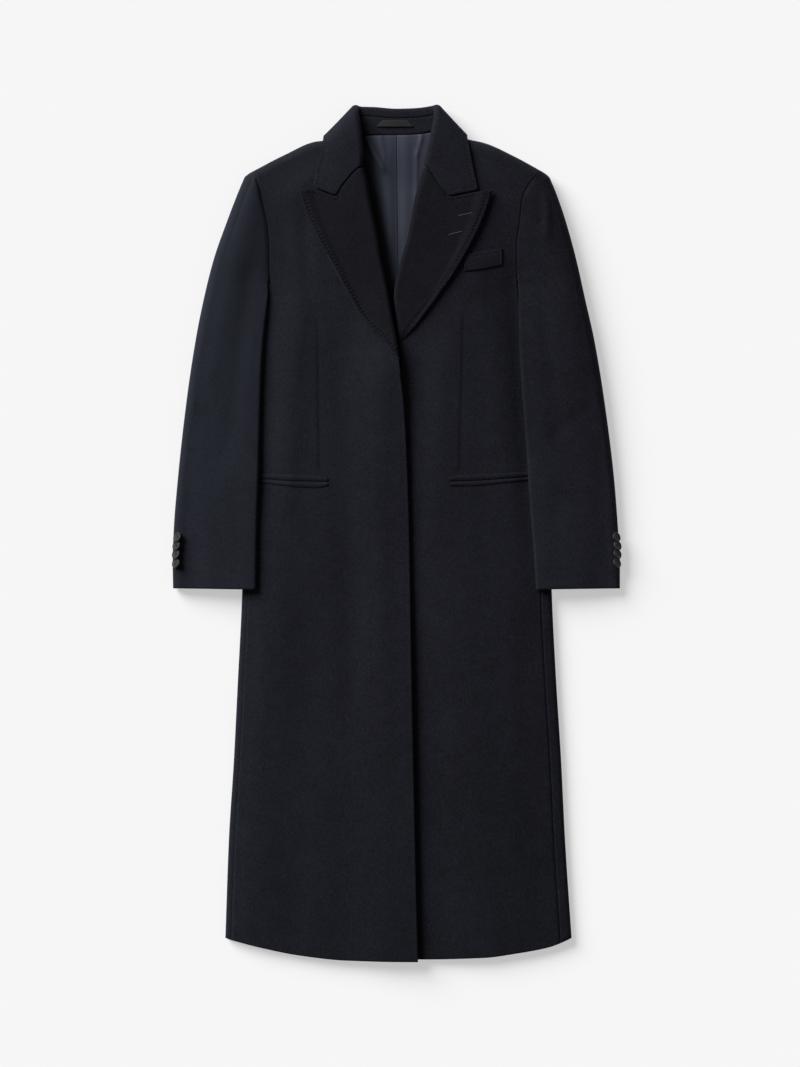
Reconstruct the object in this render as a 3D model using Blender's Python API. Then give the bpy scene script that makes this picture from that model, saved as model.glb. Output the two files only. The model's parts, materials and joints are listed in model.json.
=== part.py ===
"""A long single-breasted wool overcoat, laid face up and flat, with its sleeves along its sides.

Metres, +Z up, +Y from hem to collar. The origin is on the floor, in the middle of the coat's outline.
"right" and "left" are the wearer's: the right side lies towards -X, and the right front laps over the left.
Every piece of cloth is a wall. Its outer face is a grid of points, and its inner face is those points
moved in by the wall's thickness.
"""

import bpy
import numpy as np
from mathutils import Matrix, Vector
from mathutils.bvhtree import BVHTree

WOOL = 0.0026  # one layer of coating with its interlining
DOUBLE = 0.0036  # two pressed layers, in the collar and the lapels
SATIN = 0.0010  # lining with its turned edges
JET = 0.0016  # a pocket's narrow edging
STRIP_REACH = 0.006  # how far round each of its points a strip clears its panel
GAP = 0.0003  # between pieces that touch

SHOULDER_RADIUS = 0.013  # half the coat's height along the shoulder folds
SLEEVE_FOLD = 0.0042  # radius of a sleeve's fold where it lies on the body
ROLL_GROWTH = 0.0021  # how much rounder a lapel's roll is at the gorge than at the break
FACING = 0.013  # how far a lapel runs back inside the coat
SLEEVE_FOLD_Y = 0.3655  # where each sleeve's inner fold begins, just below the last of its seam
UNDERARM_Y = 0.3450  # where each armhole ends and the side fold begins
BREAK_Y = 0.2485  # where the right lapel starts to roll

BUTTON_RADIUS = 0.0075
BUTTON_THICKNESS = 0.0030
BUTTON_LEAN = 45  # degrees outwards, so that the cuff buttons show foreshortened
BUTTON_SHINGLE = 17  # degrees, each button tipped over the next one down

COLOURS = {
    "wool": (0.0105, 0.0120, 0.0180),
    "satin": (0.0250, 0.0300, 0.0420),
    "ribbon": (0.0180, 0.0185, 0.0200),
    "horn": (0.0350, 0.0340, 0.0340),
}
ROUGHNESS = {"wool": 0.92, "satin": 0.45, "ribbon": 0.6, "horn": 0.35}


class Curve:
    """A smooth line through a table's rows, read by the first column."""

    def __init__(self, rows):
        rows = np.array(sorted(rows), float)
        self.at = rows[:, 0]
        self.values = rows[:, 1:]
        secant = np.diff(self.values, axis=0) / np.diff(self.at)[:, None]
        before, after = secant[:-1], secant[1:]
        same_way = before * after > 0
        total = np.where(same_way, before + after, 1)
        self.slope = np.concatenate(
            [secant[:1], np.where(same_way, 2 * before * after / total, 0), secant[-1:]]
        )

    def __call__(self, at):
        at = np.clip(np.asarray(at, float), self.at[0], self.at[-1])
        row = np.clip(np.searchsorted(self.at, at, "right") - 1, 0, len(self.at) - 2)
        step = self.at[row + 1] - self.at[row]
        t = ((at - self.at[row]) / step)[..., None]
        step = step[..., None]
        value = (
            (1 + 2 * t) * (1 - t) ** 2 * self.values[row]
            + t * (1 - t) ** 2 * step * self.slope[row]
            + t * t * (3 - 2 * t) * self.values[row + 1]
            + t * t * (t - 1) * step * self.slope[row + 1]
        )
        return value[..., 0] if self.values.shape[1] == 1 else value


def smooth(start, end, value):
    """0 before start, 1 after end, and a soft step between, whichever of the two is larger."""
    t = np.clip((np.asarray(value, float) - start) / (end - start), 0, 1)
    return t * t * (3 - 2 * t)


def bump(middle, width, value):
    return np.exp(-(((np.asarray(value, float) - middle) / width) ** 2))


# Each table's rows are (y, x) unless its comment says otherwise.
SIDE = {  # the body's side folds
    "right": [(-0.5909, -0.2494), (-0.4478, -0.2443), (-0.3310, -0.2370), (-0.2142, -0.2311),
              (-0.0974, -0.2253), (0.0486, -0.2216), (0.1654, -0.2194), (0.2530, -0.2107),
              (0.2968, -0.2019), (UNDERARM_Y, -0.1880)],
    "left": [(-0.5909, 0.2558), (-0.4478, 0.2463), (-0.3310, 0.2405), (-0.2142, 0.2332),
             (-0.0974, 0.2273), (0.0486, 0.2229), (0.1654, 0.2186), (0.2530, 0.2083),
             (0.2968, 0.1967), (UNDERARM_Y, 0.1784)],
}
ARMHOLE = {
    "right": [(UNDERARM_Y, -0.1880), (0.3771, -0.1851), (0.3990, -0.1847), (0.4399, -0.1866),
              (0.4691, -0.1917), (0.4866, -0.1961), (0.5012, -0.1990), (0.5155, -0.2041)],
    "left": [(UNDERARM_Y, 0.1784), (0.3698, 0.1762), (0.3961, 0.1755), (0.4209, 0.1757),
             (0.4545, 0.1799), (0.4866, 0.1835), (0.5012, 0.1890), (0.5155, 0.1978)],
}
SHOULDER = {  # (x, y) of the outline along each shoulder, from the sleeve to under the collar
    "right": [(-0.2099, 0.5271), (-0.1640, 0.5509), (-0.1172, 0.5710), (-0.1041, 0.5724),
              (-0.0800, 0.5800)],
    "left": [(0.2120, 0.5275), (0.1748, 0.5479), (0.1280, 0.5690), (0.1047, 0.5740),
             (0.0800, 0.5800)],
}
SLEEVE_OUTSIDE = {
    "right": [(0.5271, -0.2099), (0.5217, -0.2194), (0.5129, -0.2238), (0.4954, -0.2311),
              (0.4574, -0.2457), (0.3990, -0.2662), (0.3406, -0.2808), (0.2822, -0.2924),
              (0.1946, -0.3056), (0.0778, -0.3187), (0.0048, -0.3246), (-0.0390, -0.3262),
              (-0.0805, -0.3256)],
    "left": [(0.5275, 0.2120), (0.5217, 0.2215), (0.5129, 0.2259), (0.4954, 0.2332),
             (0.4574, 0.2463), (0.3990, 0.2624), (0.3406, 0.2755), (0.2822, 0.2886),
             (0.1946, 0.3032), (0.0778, 0.3178), (0.0048, 0.3235), (-0.0390, 0.3262),
             (-0.0805, 0.3262)],
}
SLEEVE_INSIDE = {  # the fold that lies on the body, below the armhole
    "right": [(SLEEVE_FOLD_Y, -0.1864), (0.3450, -0.1884), (0.2968, -0.1924), (0.2530, -0.1953),
              (0.1946, -0.1975), (0.0778, -0.2005), (0.0048, -0.2029), (-0.0820, -0.2043)],
    "left": [(SLEEVE_FOLD_Y, 0.1770), (0.3450, 0.1784), (0.2822, 0.1791), (0.2238, 0.1821),
             (0.1362, 0.1886), (0.0778, 0.1923), (0.0194, 0.1967), (-0.0390, 0.2010),
             (-0.0825, 0.2034)],
}
FRONT_EDGE = {
    "right": [(-0.6244, 0.0317), (-0.5106, 0.0288), (-0.2302, 0.0229), (0.0194, 0.0185),
              (0.1362, 0.0142), (0.1844, 0.0117), (0.2092, 0.0098), (0.2224, 0.0060),
              (0.2384, 0.0057), (0.2440, 0.0052)],
    "left": [(-0.6220, -0.0260), (0.1000, -0.0280), (0.1800, -0.0270), (0.2200, -0.0150),
             (0.2440, 0.0068)],
}
ROLL = {  # the rolled edge of each lapel, from the break to the gorge
    "right": [(BREAK_Y, 0.0047), (0.2720, 0.0025), (0.2822, 0.0010), (0.3114, -0.0048),
              (0.3406, -0.0099), (0.3698, -0.0150), (0.3990, -0.0216), (0.4282, -0.0260),
              (0.4574, -0.0318), (0.4866, -0.0377), (0.5158, -0.0428), (0.5340, -0.0490)],
    "left": [(BREAK_Y, 0.0068), (0.2785, 0.0046), (0.2900, 0.0034), (0.3187, -0.0002),
             (0.3450, -0.0034), (0.3625, -0.0019), (0.3815, 0.0025), (0.4019, 0.0076),
             (0.4282, 0.0156), (0.4574, 0.0215), (0.4866, 0.0266), (0.5100, 0.0331),
             (0.5340, 0.0398)],
}
NECK_EDGE = {  # the fronts' edge under the collar
    "right": [(0.5340, -0.0560), (0.5450, -0.0640), (0.5600, -0.0720), (0.5680, -0.0760)],
    "left": [(0.5340, 0.0470), (0.5450, 0.0600), (0.5600, 0.0700), (0.5680, 0.0760)],
}
HEM = {  # (x, y)
    "right": [(-0.2494, -0.5909), (-0.1990, -0.6040), (-0.1406, -0.6157), (-0.0705, -0.6230),
              (0.0229, -0.6246), (0.0317, -0.6246)],
    "left": [(-0.0400, -0.6200), (0.0317, -0.6215), (0.1280, -0.6190), (0.1748, -0.6128),
             (0.2215, -0.6040), (0.2558, -0.5909)],
}
SIDE_SEAM_INSET = {"right": 0.0080, "left": 0.0160}
UNDERARM_INSET = 0.0048
NECK_POINT_X = {"right": -0.0800, "left": 0.0800}
SIGN = {"right": -1, "left": 1}

# (y, height of the folds and armhole edges, height in the middle) of the coat's upper face.
HEIGHTS = Curve([
    (-0.6250, 0.0130, 0.0150), (-0.4000, 0.0135, 0.0165), (-0.1000, 0.0140, 0.0185),
    (0.1000, 0.0145, 0.0205), (0.2500, 0.0155, 0.0225), (UNDERARM_Y, 0.0165, 0.0245),
    (0.4200, 0.0220, 0.0265), (0.5000, 0.0260, 0.0280), (0.6000, 0.0260, 0.0280),
])
HEIGHT_SPREAD = 0.070  # how far from an edge the upper face reaches its middle height

side = {name: Curve(SIDE[name]) for name in SIDE}
armhole = {name: Curve(ARMHOLE[name]) for name in ARMHOLE}
shoulder = {name: Curve(SHOULDER[name]) for name in SHOULDER}
sleeve_outside = {name: Curve(SLEEVE_OUTSIDE[name]) for name in SLEEVE_OUTSIDE}
sleeve_inside = {name: Curve(SLEEVE_INSIDE[name]) for name in SLEEVE_INSIDE}
front_edge = {name: Curve(FRONT_EDGE[name]) for name in FRONT_EDGE}
roll = {name: Curve(ROLL[name]) for name in ROLL}
neck_edge = {name: Curve(NECK_EDGE[name]) for name in NECK_EDGE}
hem = {name: Curve(HEM[name]) for name in HEM}


def edge_x(which, y):
    """The body's outer edge: its side fold below the armhole, and the armhole above it."""
    return np.where(np.asarray(y) < UNDERARM_Y, side[which](y), armhole[which](y))


def body_height(x, y):
    """The upper face of the closed coat, before its fronts lap."""
    x, y = np.asarray(x, float), np.asarray(y, float)
    from_right = x - edge_x("right", y)
    from_left = edge_x("left", y) - x
    edge, middle = np.moveaxis(HEIGHTS(y), -1, 0)
    inward = smooth(0, HEIGHT_SPREAD, from_right) * smooth(0, HEIGHT_SPREAD, from_left)
    height = edge + (middle - edge) * inward
    beside_sleeve = bump(0.004, 0.012, sleeve_inside["left"](y) - x) * smooth(-0.10, 0.05, y)
    height = height - 0.0022 * beside_sleeve * smooth(UNDERARM_Y + 0.09, UNDERARM_Y, y)
    radius = edge / 2
    nearest = np.minimum(from_right, from_left)
    round_off = np.sqrt(np.clip(1 - (1 - np.clip(nearest / radius, 0, 1)) ** 2, 0, 1))
    rounded = radius + (height - radius) * round_off
    return np.where(y <= UNDERARM_Y, rounded, height)


def lap_height(which, x, y):
    """The upper face of one front: the right one lies over the left along the middle."""
    lapped = smooth(0.36, 0.27, y)
    if which == "right":
        hem_lift = 0.0060 * smooth(-0.15, -0.62, y)
        return body_height(x, y) + smooth(-0.075, -0.020, x) * lapped * (0.0014 + hem_lift)
    return body_height(x, y) - 0.0036 * smooth(0.080, 0.025, x) * lapped


def back_height(x, y):
    """The back's outer face: on the floor, and over the collar's leaf near the neck."""
    near_neck = smooth(0.120, 0.098, np.abs(x))
    return near_neck * (0.0042 * smooth(0.528, 0.550, y) + 0.0035 * smooth(0.552, 0.578, y))


# ---------------------------------------------------------------- cloth walls


SHARPEST_BEND = 0.4  # a bigger change of direction than this isn't carried on to an edge


def point_normals(grid, kept):
    """The outer face's direction at each point, carried on to the edge where a grid's side bends."""
    facets = np.cross(grid[1:, 1:] - grid[:-1, :-1], grid[1:, :-1] - grid[:-1, 1:])
    facets /= np.maximum(np.linalg.norm(facets, axis=-1, keepdims=True), 1e-12)
    padded = np.pad(facets * kept[..., None], ((1, 1), (1, 1), (0, 0)))
    there = np.pad(kept, 1)
    normals = unit(padded[:-1, :-1] + padded[1:, :-1] + padded[:-1, 1:] + padded[1:, 1:])
    carried = normals.copy()
    for axis in (0, 1):
        pairs = there | np.roll(there, -1, 1 - axis)
        pairs = pairs[:, :-1] if axis == 0 else pairs[:-1]
        before = pairs[:-1] if axis == 0 else pairs[:, :-1]
        after = pairs[1:] if axis == 0 else pairs[:, 1:]
        for one_side, step in ((after & ~before, -1), (before & ~after, 1)):
            bend = normals - np.roll(normals, step, axis)
            gentle = np.linalg.norm(bend, axis=-1) < SHARPEST_BEND
            carried += (one_side & gentle)[..., None] * bend
    return unit(carried)


def unit(vectors):
    return vectors / np.maximum(np.linalg.norm(vectors, axis=-1, keepdims=True), 1e-12)


def add_object(name, points, faces, material, sharp=50):
    mesh = bpy.data.meshes.new(name)
    mesh.from_pydata([tuple(point) for point in points], [], faces)
    mesh.materials.append(MATERIALS[material])
    mesh.shade_smooth()
    mesh.set_sharp_from_angle(angle=np.radians(sharp))
    piece = bpy.data.objects.new(name, mesh)
    bpy.context.scene.collection.objects.link(piece)
    return piece


def wall(name, grid, thickness, material="wool", outward=1, keep=None):
    """A closed wall. grid holds the outer face's points in rows and columns, and keep says which of
    its squares there are. outward is 1 if the outer face looks up at the middle square and -1 if it
    looks down. The inner face is the outer one moved in by the thickness."""
    grid = np.asarray(grid, float)
    rows, columns = grid.shape[:2]
    kept = np.array([[keep is None or keep(r, c) for c in range(columns - 1)] for r in range(rows - 1)])
    normals = point_normals(grid, kept)
    number = np.arange(rows * columns).reshape(rows, columns)
    a, b, c, d = number[:-1, :-1], number[:-1, 1:], number[1:, 1:], number[1:, :-1]
    triangles = np.stack([np.stack([a, b, c], -1), np.stack([a, c, d], -1)], 2)[kept].reshape(-1, 3)
    if normals[rows // 2, columns // 2, 2] * outward < 0:
        triangles, normals = triangles[:, ::-1], -normals
    used, triangles = np.unique(triangles, return_inverse=True)
    triangles = triangles.reshape(-1, 3).tolist()
    outer = grid.reshape(-1, 3)[used]
    inner = outer - normals.reshape(-1, 3)[used] * thickness
    count = len(outer)
    edges = {(i, j) for t in triangles for i, j in zip(t, t[1:] + t[:1])}
    faces = [tuple(t) for t in triangles]
    faces += [tuple(i + count for i in t[::-1]) for t in triangles]
    faces += [(j, i, i + count, j + count) for i, j in sorted(edges) if (j, i) not in edges]
    return add_object(name, np.concatenate([outer, inner]), faces, material)


def pull_in(grid, sides, distance=GAP / 2):
    """The grid with the named sides moved in by half a seam's gap."""
    grid = grid.copy()
    places = {"first row": (0, 1), "last row": (-1, -2)}
    for side_name in sides:
        turned = grid if "row" in side_name else grid.swapaxes(0, 1)
        edge, inside = places[side_name.replace("column", "row")]
        step = turned[inside] - turned[edge]
        length = np.maximum(np.linalg.norm(step, axis=-1, keepdims=True), 1e-9)
        turned[edge] += step / length * np.minimum(distance, length / 2)
    return grid


def mix(start, end, share):
    """Points from start to end, one for each share."""
    share = np.asarray(share, float)[..., None]
    return np.asarray(start) * (1 - share) + np.asarray(end) * share


# ---------------------------------------------------------------- fronts

# (y at the outer edge, y at the front edge) of each row of a front, from the hem up.
FRONT_ROWS = [
    (-0.5909, -0.6246), (-0.5500, -0.5700), (-0.4500, -0.4500), (-0.3300, -0.3300),
    (-0.2100, -0.2100), (-0.0950, -0.0950), (0.0150, 0.0150), (0.0900, 0.0900),
    (0.1500, 0.1500), (0.1900, 0.1850), (0.2200, 0.2150), (0.2440, 0.2390),
    (0.2580, 0.2440), (0.2700, 0.2500), (0.2950, 0.2790), (0.3200, 0.3100),
    (UNDERARM_Y, 0.3450), (0.3720, 0.3800), (0.4000, 0.4150), (0.4300, 0.4500),
    (0.4600, 0.4850), (0.4850, 0.5150), (0.5010, 0.5340), (0.5155, 0.5680),
]
FRONT_SHARES = [0, 0.06, 0.18, 0.36, 0.54, 0.72, 0.86, 0.94, 1]
SHOULDER_KNOTS = [0, 0.18, 0.36, 0.72, 1]  # shares of the width where the shoulder line bends
HEM_ROWS = 3  # rows over which the hem's curve dies out
EDGE_TOP = 0.2440  # where a front's buttoning edge ends
GORGE_Y = 0.5340  # where a lapel ends and the collar begins
ROLL_INSET = 0.0060  # from a lapel's rolled edge to the front inside it
ROLL_START = {"right": (EDGE_TOP, BREAK_Y), "left": (0.2620, 0.2785)}  # where each front runs in under it
FRONT_SHOULDER_ARC = [25, 50, 75, 102]  # degrees round the shoulder fold, to its seam
ARMHOLE_SKEW = {"right": 0, "left": 0.386}  # how far each armhole seam runs aslant over the shoulder
SHOULDER_BLEND = 0.040  # how far the shoulder fold's height reaches into the front


def inner_edge_x(which, y):
    """A front's inner edge: the buttoning edge, then inside the lapel's roll, then the neck."""
    rolled = roll[which](y) + SIGN[which] * ROLL_INSET * smooth(*ROLL_START[which], y)
    lower = np.where(y <= EDGE_TOP, front_edge[which](y), rolled)
    return np.where(y > GORGE_Y, neck_edge[which](y), lower)


def seam_inset(which, y):
    """How far the side seam lies inside the side fold, which it meets at the underarm."""
    inset = SIDE_SEAM_INSET[which]
    return inset + (UNDERARM_INSET - inset) * smooth(UNDERARM_Y - 0.09, UNDERARM_Y, y)


def side_seam_x(which, y):
    """The side seam, which lies on the coat's upper face just inside the side fold."""
    return side[which](y) - SIGN[which] * seam_inset(which, y)


def outer_edge_x(which, y):
    return np.where(y <= UNDERARM_Y, side_seam_x(which, y), armhole[which](y))


def shoulder_point(which, share, degrees):
    """Points round the shoulder fold: 0 degrees is its top and 180 its underside. The shares run
    along it from the sleeve to the neck, in straight steps between the knots."""
    start_x, end_x = SHOULDER[which][0][0], NECK_POINT_X[which]
    x = start_x + (end_x - start_x) * np.array(SHOULDER_KNOTS)
    y = shoulder[which](x)
    before, after = np.clip([x - 0.001, x + 0.001], *sorted((start_x, end_x)))
    slope = (shoulder[which](after) - shoulder[which](before)) / (after - before)
    length = np.hypot(slope, 1)
    angle = np.radians(degrees)
    reach = SHOULDER_RADIUS * (np.sin(angle) - 1)
    skew = np.zeros(len(SHOULDER_KNOTS))
    skew[0] = ARMHOLE_SKEW[which] * SIGN[which]
    low = back_height(x, y - SHOULDER_RADIUS)
    radius = SHOULDER_RADIUS - low / 2
    knots = [x + (skew - slope) / length * reach, y + (1 + skew * slope) / length * reach,
             low + radius * (1 + np.cos(angle))]
    return np.stack([np.interp(share, SHOULDER_KNOTS, knot) for knot in knots], -1)


def front(which):
    share = np.array(FRONT_SHARES)
    outer_y, inner_y = np.array(FRONT_ROWS).T[:, :, None]
    x = outer_edge_x(which, outer_y) * (1 - share) + inner_edge_x(which, inner_y) * share
    y = outer_y * (1 - share) + inner_y * share
    hem_curve = hem[which](x[0]) - y[0]
    for row in range(HEM_ROWS):
        y[row] += hem_curve * (1 - row / HEM_ROWS)
    top = shoulder_point(which, share, 0)
    x[-1], y[-1] = top[:, 0], top[:, 1]
    height = lap_height(which, x, y)
    from_top = np.hypot(x - top[:, 0], y - top[:, 1])
    height += (2 * SHOULDER_RADIUS - height) * smooth(SHOULDER_BLEND, 0, from_top)
    arcs = [shoulder_point(which, share, degrees) for degrees in FRONT_SHOULDER_ARC]
    grid = np.concatenate([np.stack([x, y, height], -1), arcs])
    return pull_in(pull_in(grid, ["last column", "last row"]), ["first column"], 3.2 * GAP)


# ---------------------------------------------------------------- back

BACK_ROWS = [outer_y for outer_y, inner_y in FRONT_ROWS]
NECK_SHARES = [0.396, 0.503, 0.555, 0.632]  # shares of the back's width between the neck points
SHOULDER_SHARE = {"right": 0.309, "left": 0.293}  # share of the back's width under each shoulder
FAN_Y = 0.4000  # above this the back's rows rise towards the neck
SIDE_STEPS = 6  # squares round a side fold, from the floor to the top
SEAM_FLAT = 0.001  # least width of the flat square between the left side fold and its seam
BACK_SHOULDER_ARC = [155, 130, 106]
HEM_SHORTER = 0.0015  # how much shorter the back is than the fronts
BACK_NECK = Curve([(-0.0800, 0.5790), (-0.0600, 0.5790), (-0.0442, 0.5796), (-0.0019, 0.5804),
                   (0.0185, 0.5806), (0.0379, 0.5820), (0.0507, 0.5850), (0.0650, 0.5860),
                   (0.0800, 0.5790)])


def side_fold(which, y):
    """Columns of points round a side fold, from the floor up and over to the side seam. The left
    side's seam lies further in, so that a flat square leads to it."""
    radius = HEIGHTS(y)[:, 0] / 2
    seam_x = side_seam_x(which, y)
    last = np.arcsin(np.clip(1 - seam_inset(which, y) / radius, 0, 1))
    columns = []
    for step in range(1, SIDE_STEPS + 1):
        angle = np.pi - (np.pi - last) * step / SIDE_STEPS
        x = side[which](y) - SIGN[which] * radius * (1 - np.sin(angle))
        columns.append(np.stack([x, y, radius * (1 + np.cos(angle))], -1))
    if which == "right":
        columns[-1][:, 0] = seam_x
    else:
        columns[-1][:, 0] = seam_x + np.maximum(seam_inset(which, y) - radius, SEAM_FLAT)
        columns.append(np.stack([seam_x, y, body_height(seam_x, y)], -1))
    return columns


def back():
    """The back's grid, with the numbers of its first and last flat columns."""
    knots = np.array(SHOULDER_KNOTS)
    right_share, left_share = SHOULDER_SHARE["right"], SHOULDER_SHARE["left"]
    share = np.concatenate([knots * right_share, NECK_SHARES, 1 - knots[::-1] * left_share])
    right, left = slice(0, len(knots)), slice(-len(knots), None)
    level = np.array(BACK_ROWS)[:, None]
    fold = np.where(level <= UNDERARM_Y, HEIGHTS(level)[..., 0] / 2, 0)
    x = (edge_x("right", level) + fold) * (1 - share) + (edge_x("left", level) - fold) * share
    top = np.stack([x[-1], BACK_NECK(x[-1]), x[-1] * 0], -1)
    top[right] = shoulder_point("right", knots, 180)
    top[left] = shoulder_point("left", knots, 180)[::-1]
    y = level + (top[:, 1] - level[-1]) * np.clip((level - FAN_Y) / (level[-1] - FAN_Y), 0, 1)
    x[-1] = top[:, 0]
    hem_y = np.where(x[0] < 0, hem["right"](x[0]), hem["left"](x[0])) + HEM_SHORTER
    for row in range(HEM_ROWS):
        y[row] += (hem_y - level[0]) * (1 - row / HEM_ROWS)
    flat = np.stack([x, y, back_height(x, y)], -1)
    arcs = np.repeat(flat[-1:], len(BACK_SHOULDER_ARC), 0)
    for arc, degrees in zip(arcs, BACK_SHOULDER_ARC):
        arc[right] = shoulder_point("right", knots, degrees)
        arc[left] = shoulder_point("left", knots, degrees)[::-1]
    flat = np.concatenate([flat, arcs])
    folds = {}
    for which, edge in (("right", 0), ("left", -1)):
        columns = side_fold(which, level[:, 0])
        for number, column in enumerate(columns, 1):
            drop = hem[which](column[0, 0]) - level[0] + HEM_SHORTER * (1 - number / len(columns))
            column[:HEM_ROWS, 1] += drop * (1 - np.arange(HEM_ROWS) / HEM_ROWS)
        folds[which] = [np.concatenate([column, arcs[:, edge]]) for column in columns]
    grid = np.stack(folds["right"][::-1] + list(flat.swapaxes(0, 1)) + folds["left"], 1)
    first = len(folds["right"])
    return pull_in(grid, ["first column", "last column", "last row"]), first, first + len(share) - 1


def build_back():
    grid, first_flat, last_flat = back()
    underarm = BACK_ROWS.index(UNDERARM_Y)
    last_row = len(BACK_ROWS) - 1
    shoulder_squares = len(SHOULDER_KNOTS) - 1
    neck = range(first_flat + shoulder_squares, last_flat - shoulder_squares)

    def keep(row, column):
        if column < first_flat or column >= last_flat:
            return row < underarm
        return row < last_row or column not in neck

    return wall("back", grid, WOOL, outward=-1, keep=keep)


# ---------------------------------------------------------------- sleeves

# (y at the outer fold, y at the armhole or the inner fold) of each row, from the shoulder down.
SLEEVE_ROWS = [
    (0.5271, 0.5155), (0.5190, 0.5010), (0.5080, 0.4850), (0.4860, 0.4600), (0.4500, 0.4300),
    (0.4130, 0.4000), (0.3800, 0.3720), (0.3690, SLEEVE_FOLD_Y), (0.3450, 0.3450),
    (0.3200, 0.3200), (0.2900, 0.2900), (0.2500, 0.2500), (0.1900, 0.1900), (0.1200, 0.1200),
    (0.0500, 0.0500), (-0.0200, -0.0200), (-0.0805, -0.0820),
]
SLEEVE_RADIUS = Curve([(-0.0805, 0.0085), (0.1000, 0.0112), (UNDERARM_Y, 0.0140),
                       (0.4500, 0.0140), (0.5271, SHOULDER_RADIUS)])  # (y, radius of the outer fold)
HIND_SEAM, FOREARM_SEAM = -35, -35  # degrees below each fold's outermost line
TOP_OUTER_ARC = [HIND_SEAM, -8, 20, 45, 70, 90]
TOP_SHARES = [0.16, 0.34, 0.52, 0.70, 0.86, 1]
TOP_INNER_ARC = [60, 30, 0, FOREARM_SEAM]
UNDER_OUTER_ARC = [HIND_SEAM, -62, -90]
UNDER_INNER_ARC = [-62, FOREARM_SEAM]
SLEEVE_CROWN = 0.0015
HEAD_RIDGE = 0.0045  # the roll of the sleeve head beyond the armhole seam
RESTS = 0.0015  # between a sleeve and the front it lies on
OVER_POCKET = 0.0022  # more room where a sleeve crosses a pocket
BRIDGE = 0.030  # how far out the sleeve's underside slopes down to the floor


def curve_normal(curve, sign, y):
    slope = (curve(y + 0.001) - curve(y - 0.001)) / 0.002
    normal = np.array([1, -slope]) / np.hypot(slope, 1)
    return normal * sign


class SleeveRow:
    """One row across a sleeve, from its outer fold to the armhole or its inner fold."""

    def __init__(self, which, outer_y, inner_y):
        self.sign = SIGN[which]
        self.folded = inner_y <= SLEEVE_FOLD_Y
        self.radius = float(SLEEVE_RADIUS(outer_y))
        self.outer = np.array([float(sleeve_outside[which](outer_y)), outer_y])
        if outer_y == SLEEVE_ROWS[0][0]:
            self.outer = shoulder_point(which, 0, 90)[:2]
            self.out = (self.outer - shoulder_point(which, 0, 0)[:2]) / self.radius
        else:
            self.out = curve_normal(sleeve_outside[which], self.sign, outer_y)
        inner_curve = sleeve_inside[which] if self.folded else armhole[which]
        self.inner = np.array([float(inner_curve(inner_y)), inner_y])
        self.to_body = -curve_normal(sleeve_inside[which], self.sign, inner_y)
        room = RESTS + OVER_POCKET * bump(0.077, 0.030, inner_y)
        self.side_x = float(edge_x(which, inner_y))
        across_body = np.linspace(self.inner[0] - self.sign * 0.002, self.side_x, 9)
        support = float(np.max(body_height(across_body, inner_y))) + room
        over_body = float(smooth(0.395, 0.352, inner_y))
        seam_height = float(HEIGHTS(inner_y)[0])
        self.low = support * over_body
        self.high = seam_height + (support + 2 * SLEEVE_FOLD - seam_height) * over_body
        self.head = float(smooth(0.335, 0.400, inner_y) * smooth(0.522, 0.490, inner_y))

    def outer_arc(self, degrees):
        angle = np.radians(degrees)
        plan = self.outer + self.out * self.radius * (np.cos(angle) - 1)
        return [*plan, self.radius * (1 + np.sin(angle))]

    def inner_arc(self, degrees):
        angle = np.radians(degrees)
        plan = self.inner + self.to_body * SLEEVE_FOLD * (np.cos(angle) - 1)
        return [*plan, self.low + SLEEVE_FOLD * (1 + np.sin(angle))]

    def ends(self):
        inner = self.inner - self.to_body * SLEEVE_FOLD * self.folded
        return self.outer - self.out * self.radius, inner

    def top(self, share):
        start, end = self.ends()
        plan = start * (1 - share) + end * share
        height = 2 * self.radius + (self.high - 2 * self.radius) * float(smooth(0, 1, share))
        height += SLEEVE_CROWN * np.sin(np.pi * share)
        from_seam = np.linalg.norm(plan - end)
        height += HEAD_RIDGE * self.head * float(bump(0.014, 0.009, from_seam))
        return [*plan, height]

    def under_row(self):
        """Points across the underside: on the floor, then sloping up on to the body."""
        start, end = self.ends()
        width = abs(end[0] - start[0])
        from_end = abs(end[0] - self.side_x)
        on_body = min(width - from_end - 0.001, width * 0.93)
        on_floor = max(on_body - BRIDGE, on_body * 0.4)
        marks = [on_floor, (on_floor + on_body) / 2, on_body]
        points = []
        for distance in [marks[0] * 0.5, *marks, width]:
            share = distance / width
            plan = start * (1 - share) + end * share
            height = self.low * float(smooth(marks[0], marks[2], distance))
            points.append([*plan, height])
        return points


def around_shoulder(row, next_line, last_degrees):
    """The shoulder row's points, spaced round the outer fold as the next row's points are."""
    steps = np.linalg.norm(np.diff(next_line, axis=0), axis=1)
    share = np.append(0, np.cumsum(steps)) / steps.sum()
    return [row.outer_arc(HIND_SEAM + (last_degrees - HIND_SEAM) * part) for part in share]


def sleeve(which):
    """The grids of the top and under sleeve, and the first row that has an inner fold."""
    rows = [SleeveRow(which, *ys) for ys in SLEEVE_ROWS]
    upper, lower = [], []
    for row in rows:
        upper.append([row.outer_arc(a) for a in TOP_OUTER_ARC] + [row.top(s) for s in TOP_SHARES])
        lower.append([row.outer_arc(a) for a in UNDER_OUTER_ARC] + row.under_row())
    upper[0] = around_shoulder(rows[0], upper[1], 90)
    lower[0] = around_shoulder(rows[0], lower[1], -90)
    for row, line in zip(rows, upper):
        line += [row.inner_arc(a) if row.folded else line[-1] for a in TOP_INNER_ARC]
    for row, line in zip(rows, lower):
        line += [row.inner_arc(a) if row.folded else line[-1] for a in UNDER_INNER_ARC]
    first_folded = [row.folded for row in rows].index(True)
    return np.array(upper), np.array(lower), first_folded


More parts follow.
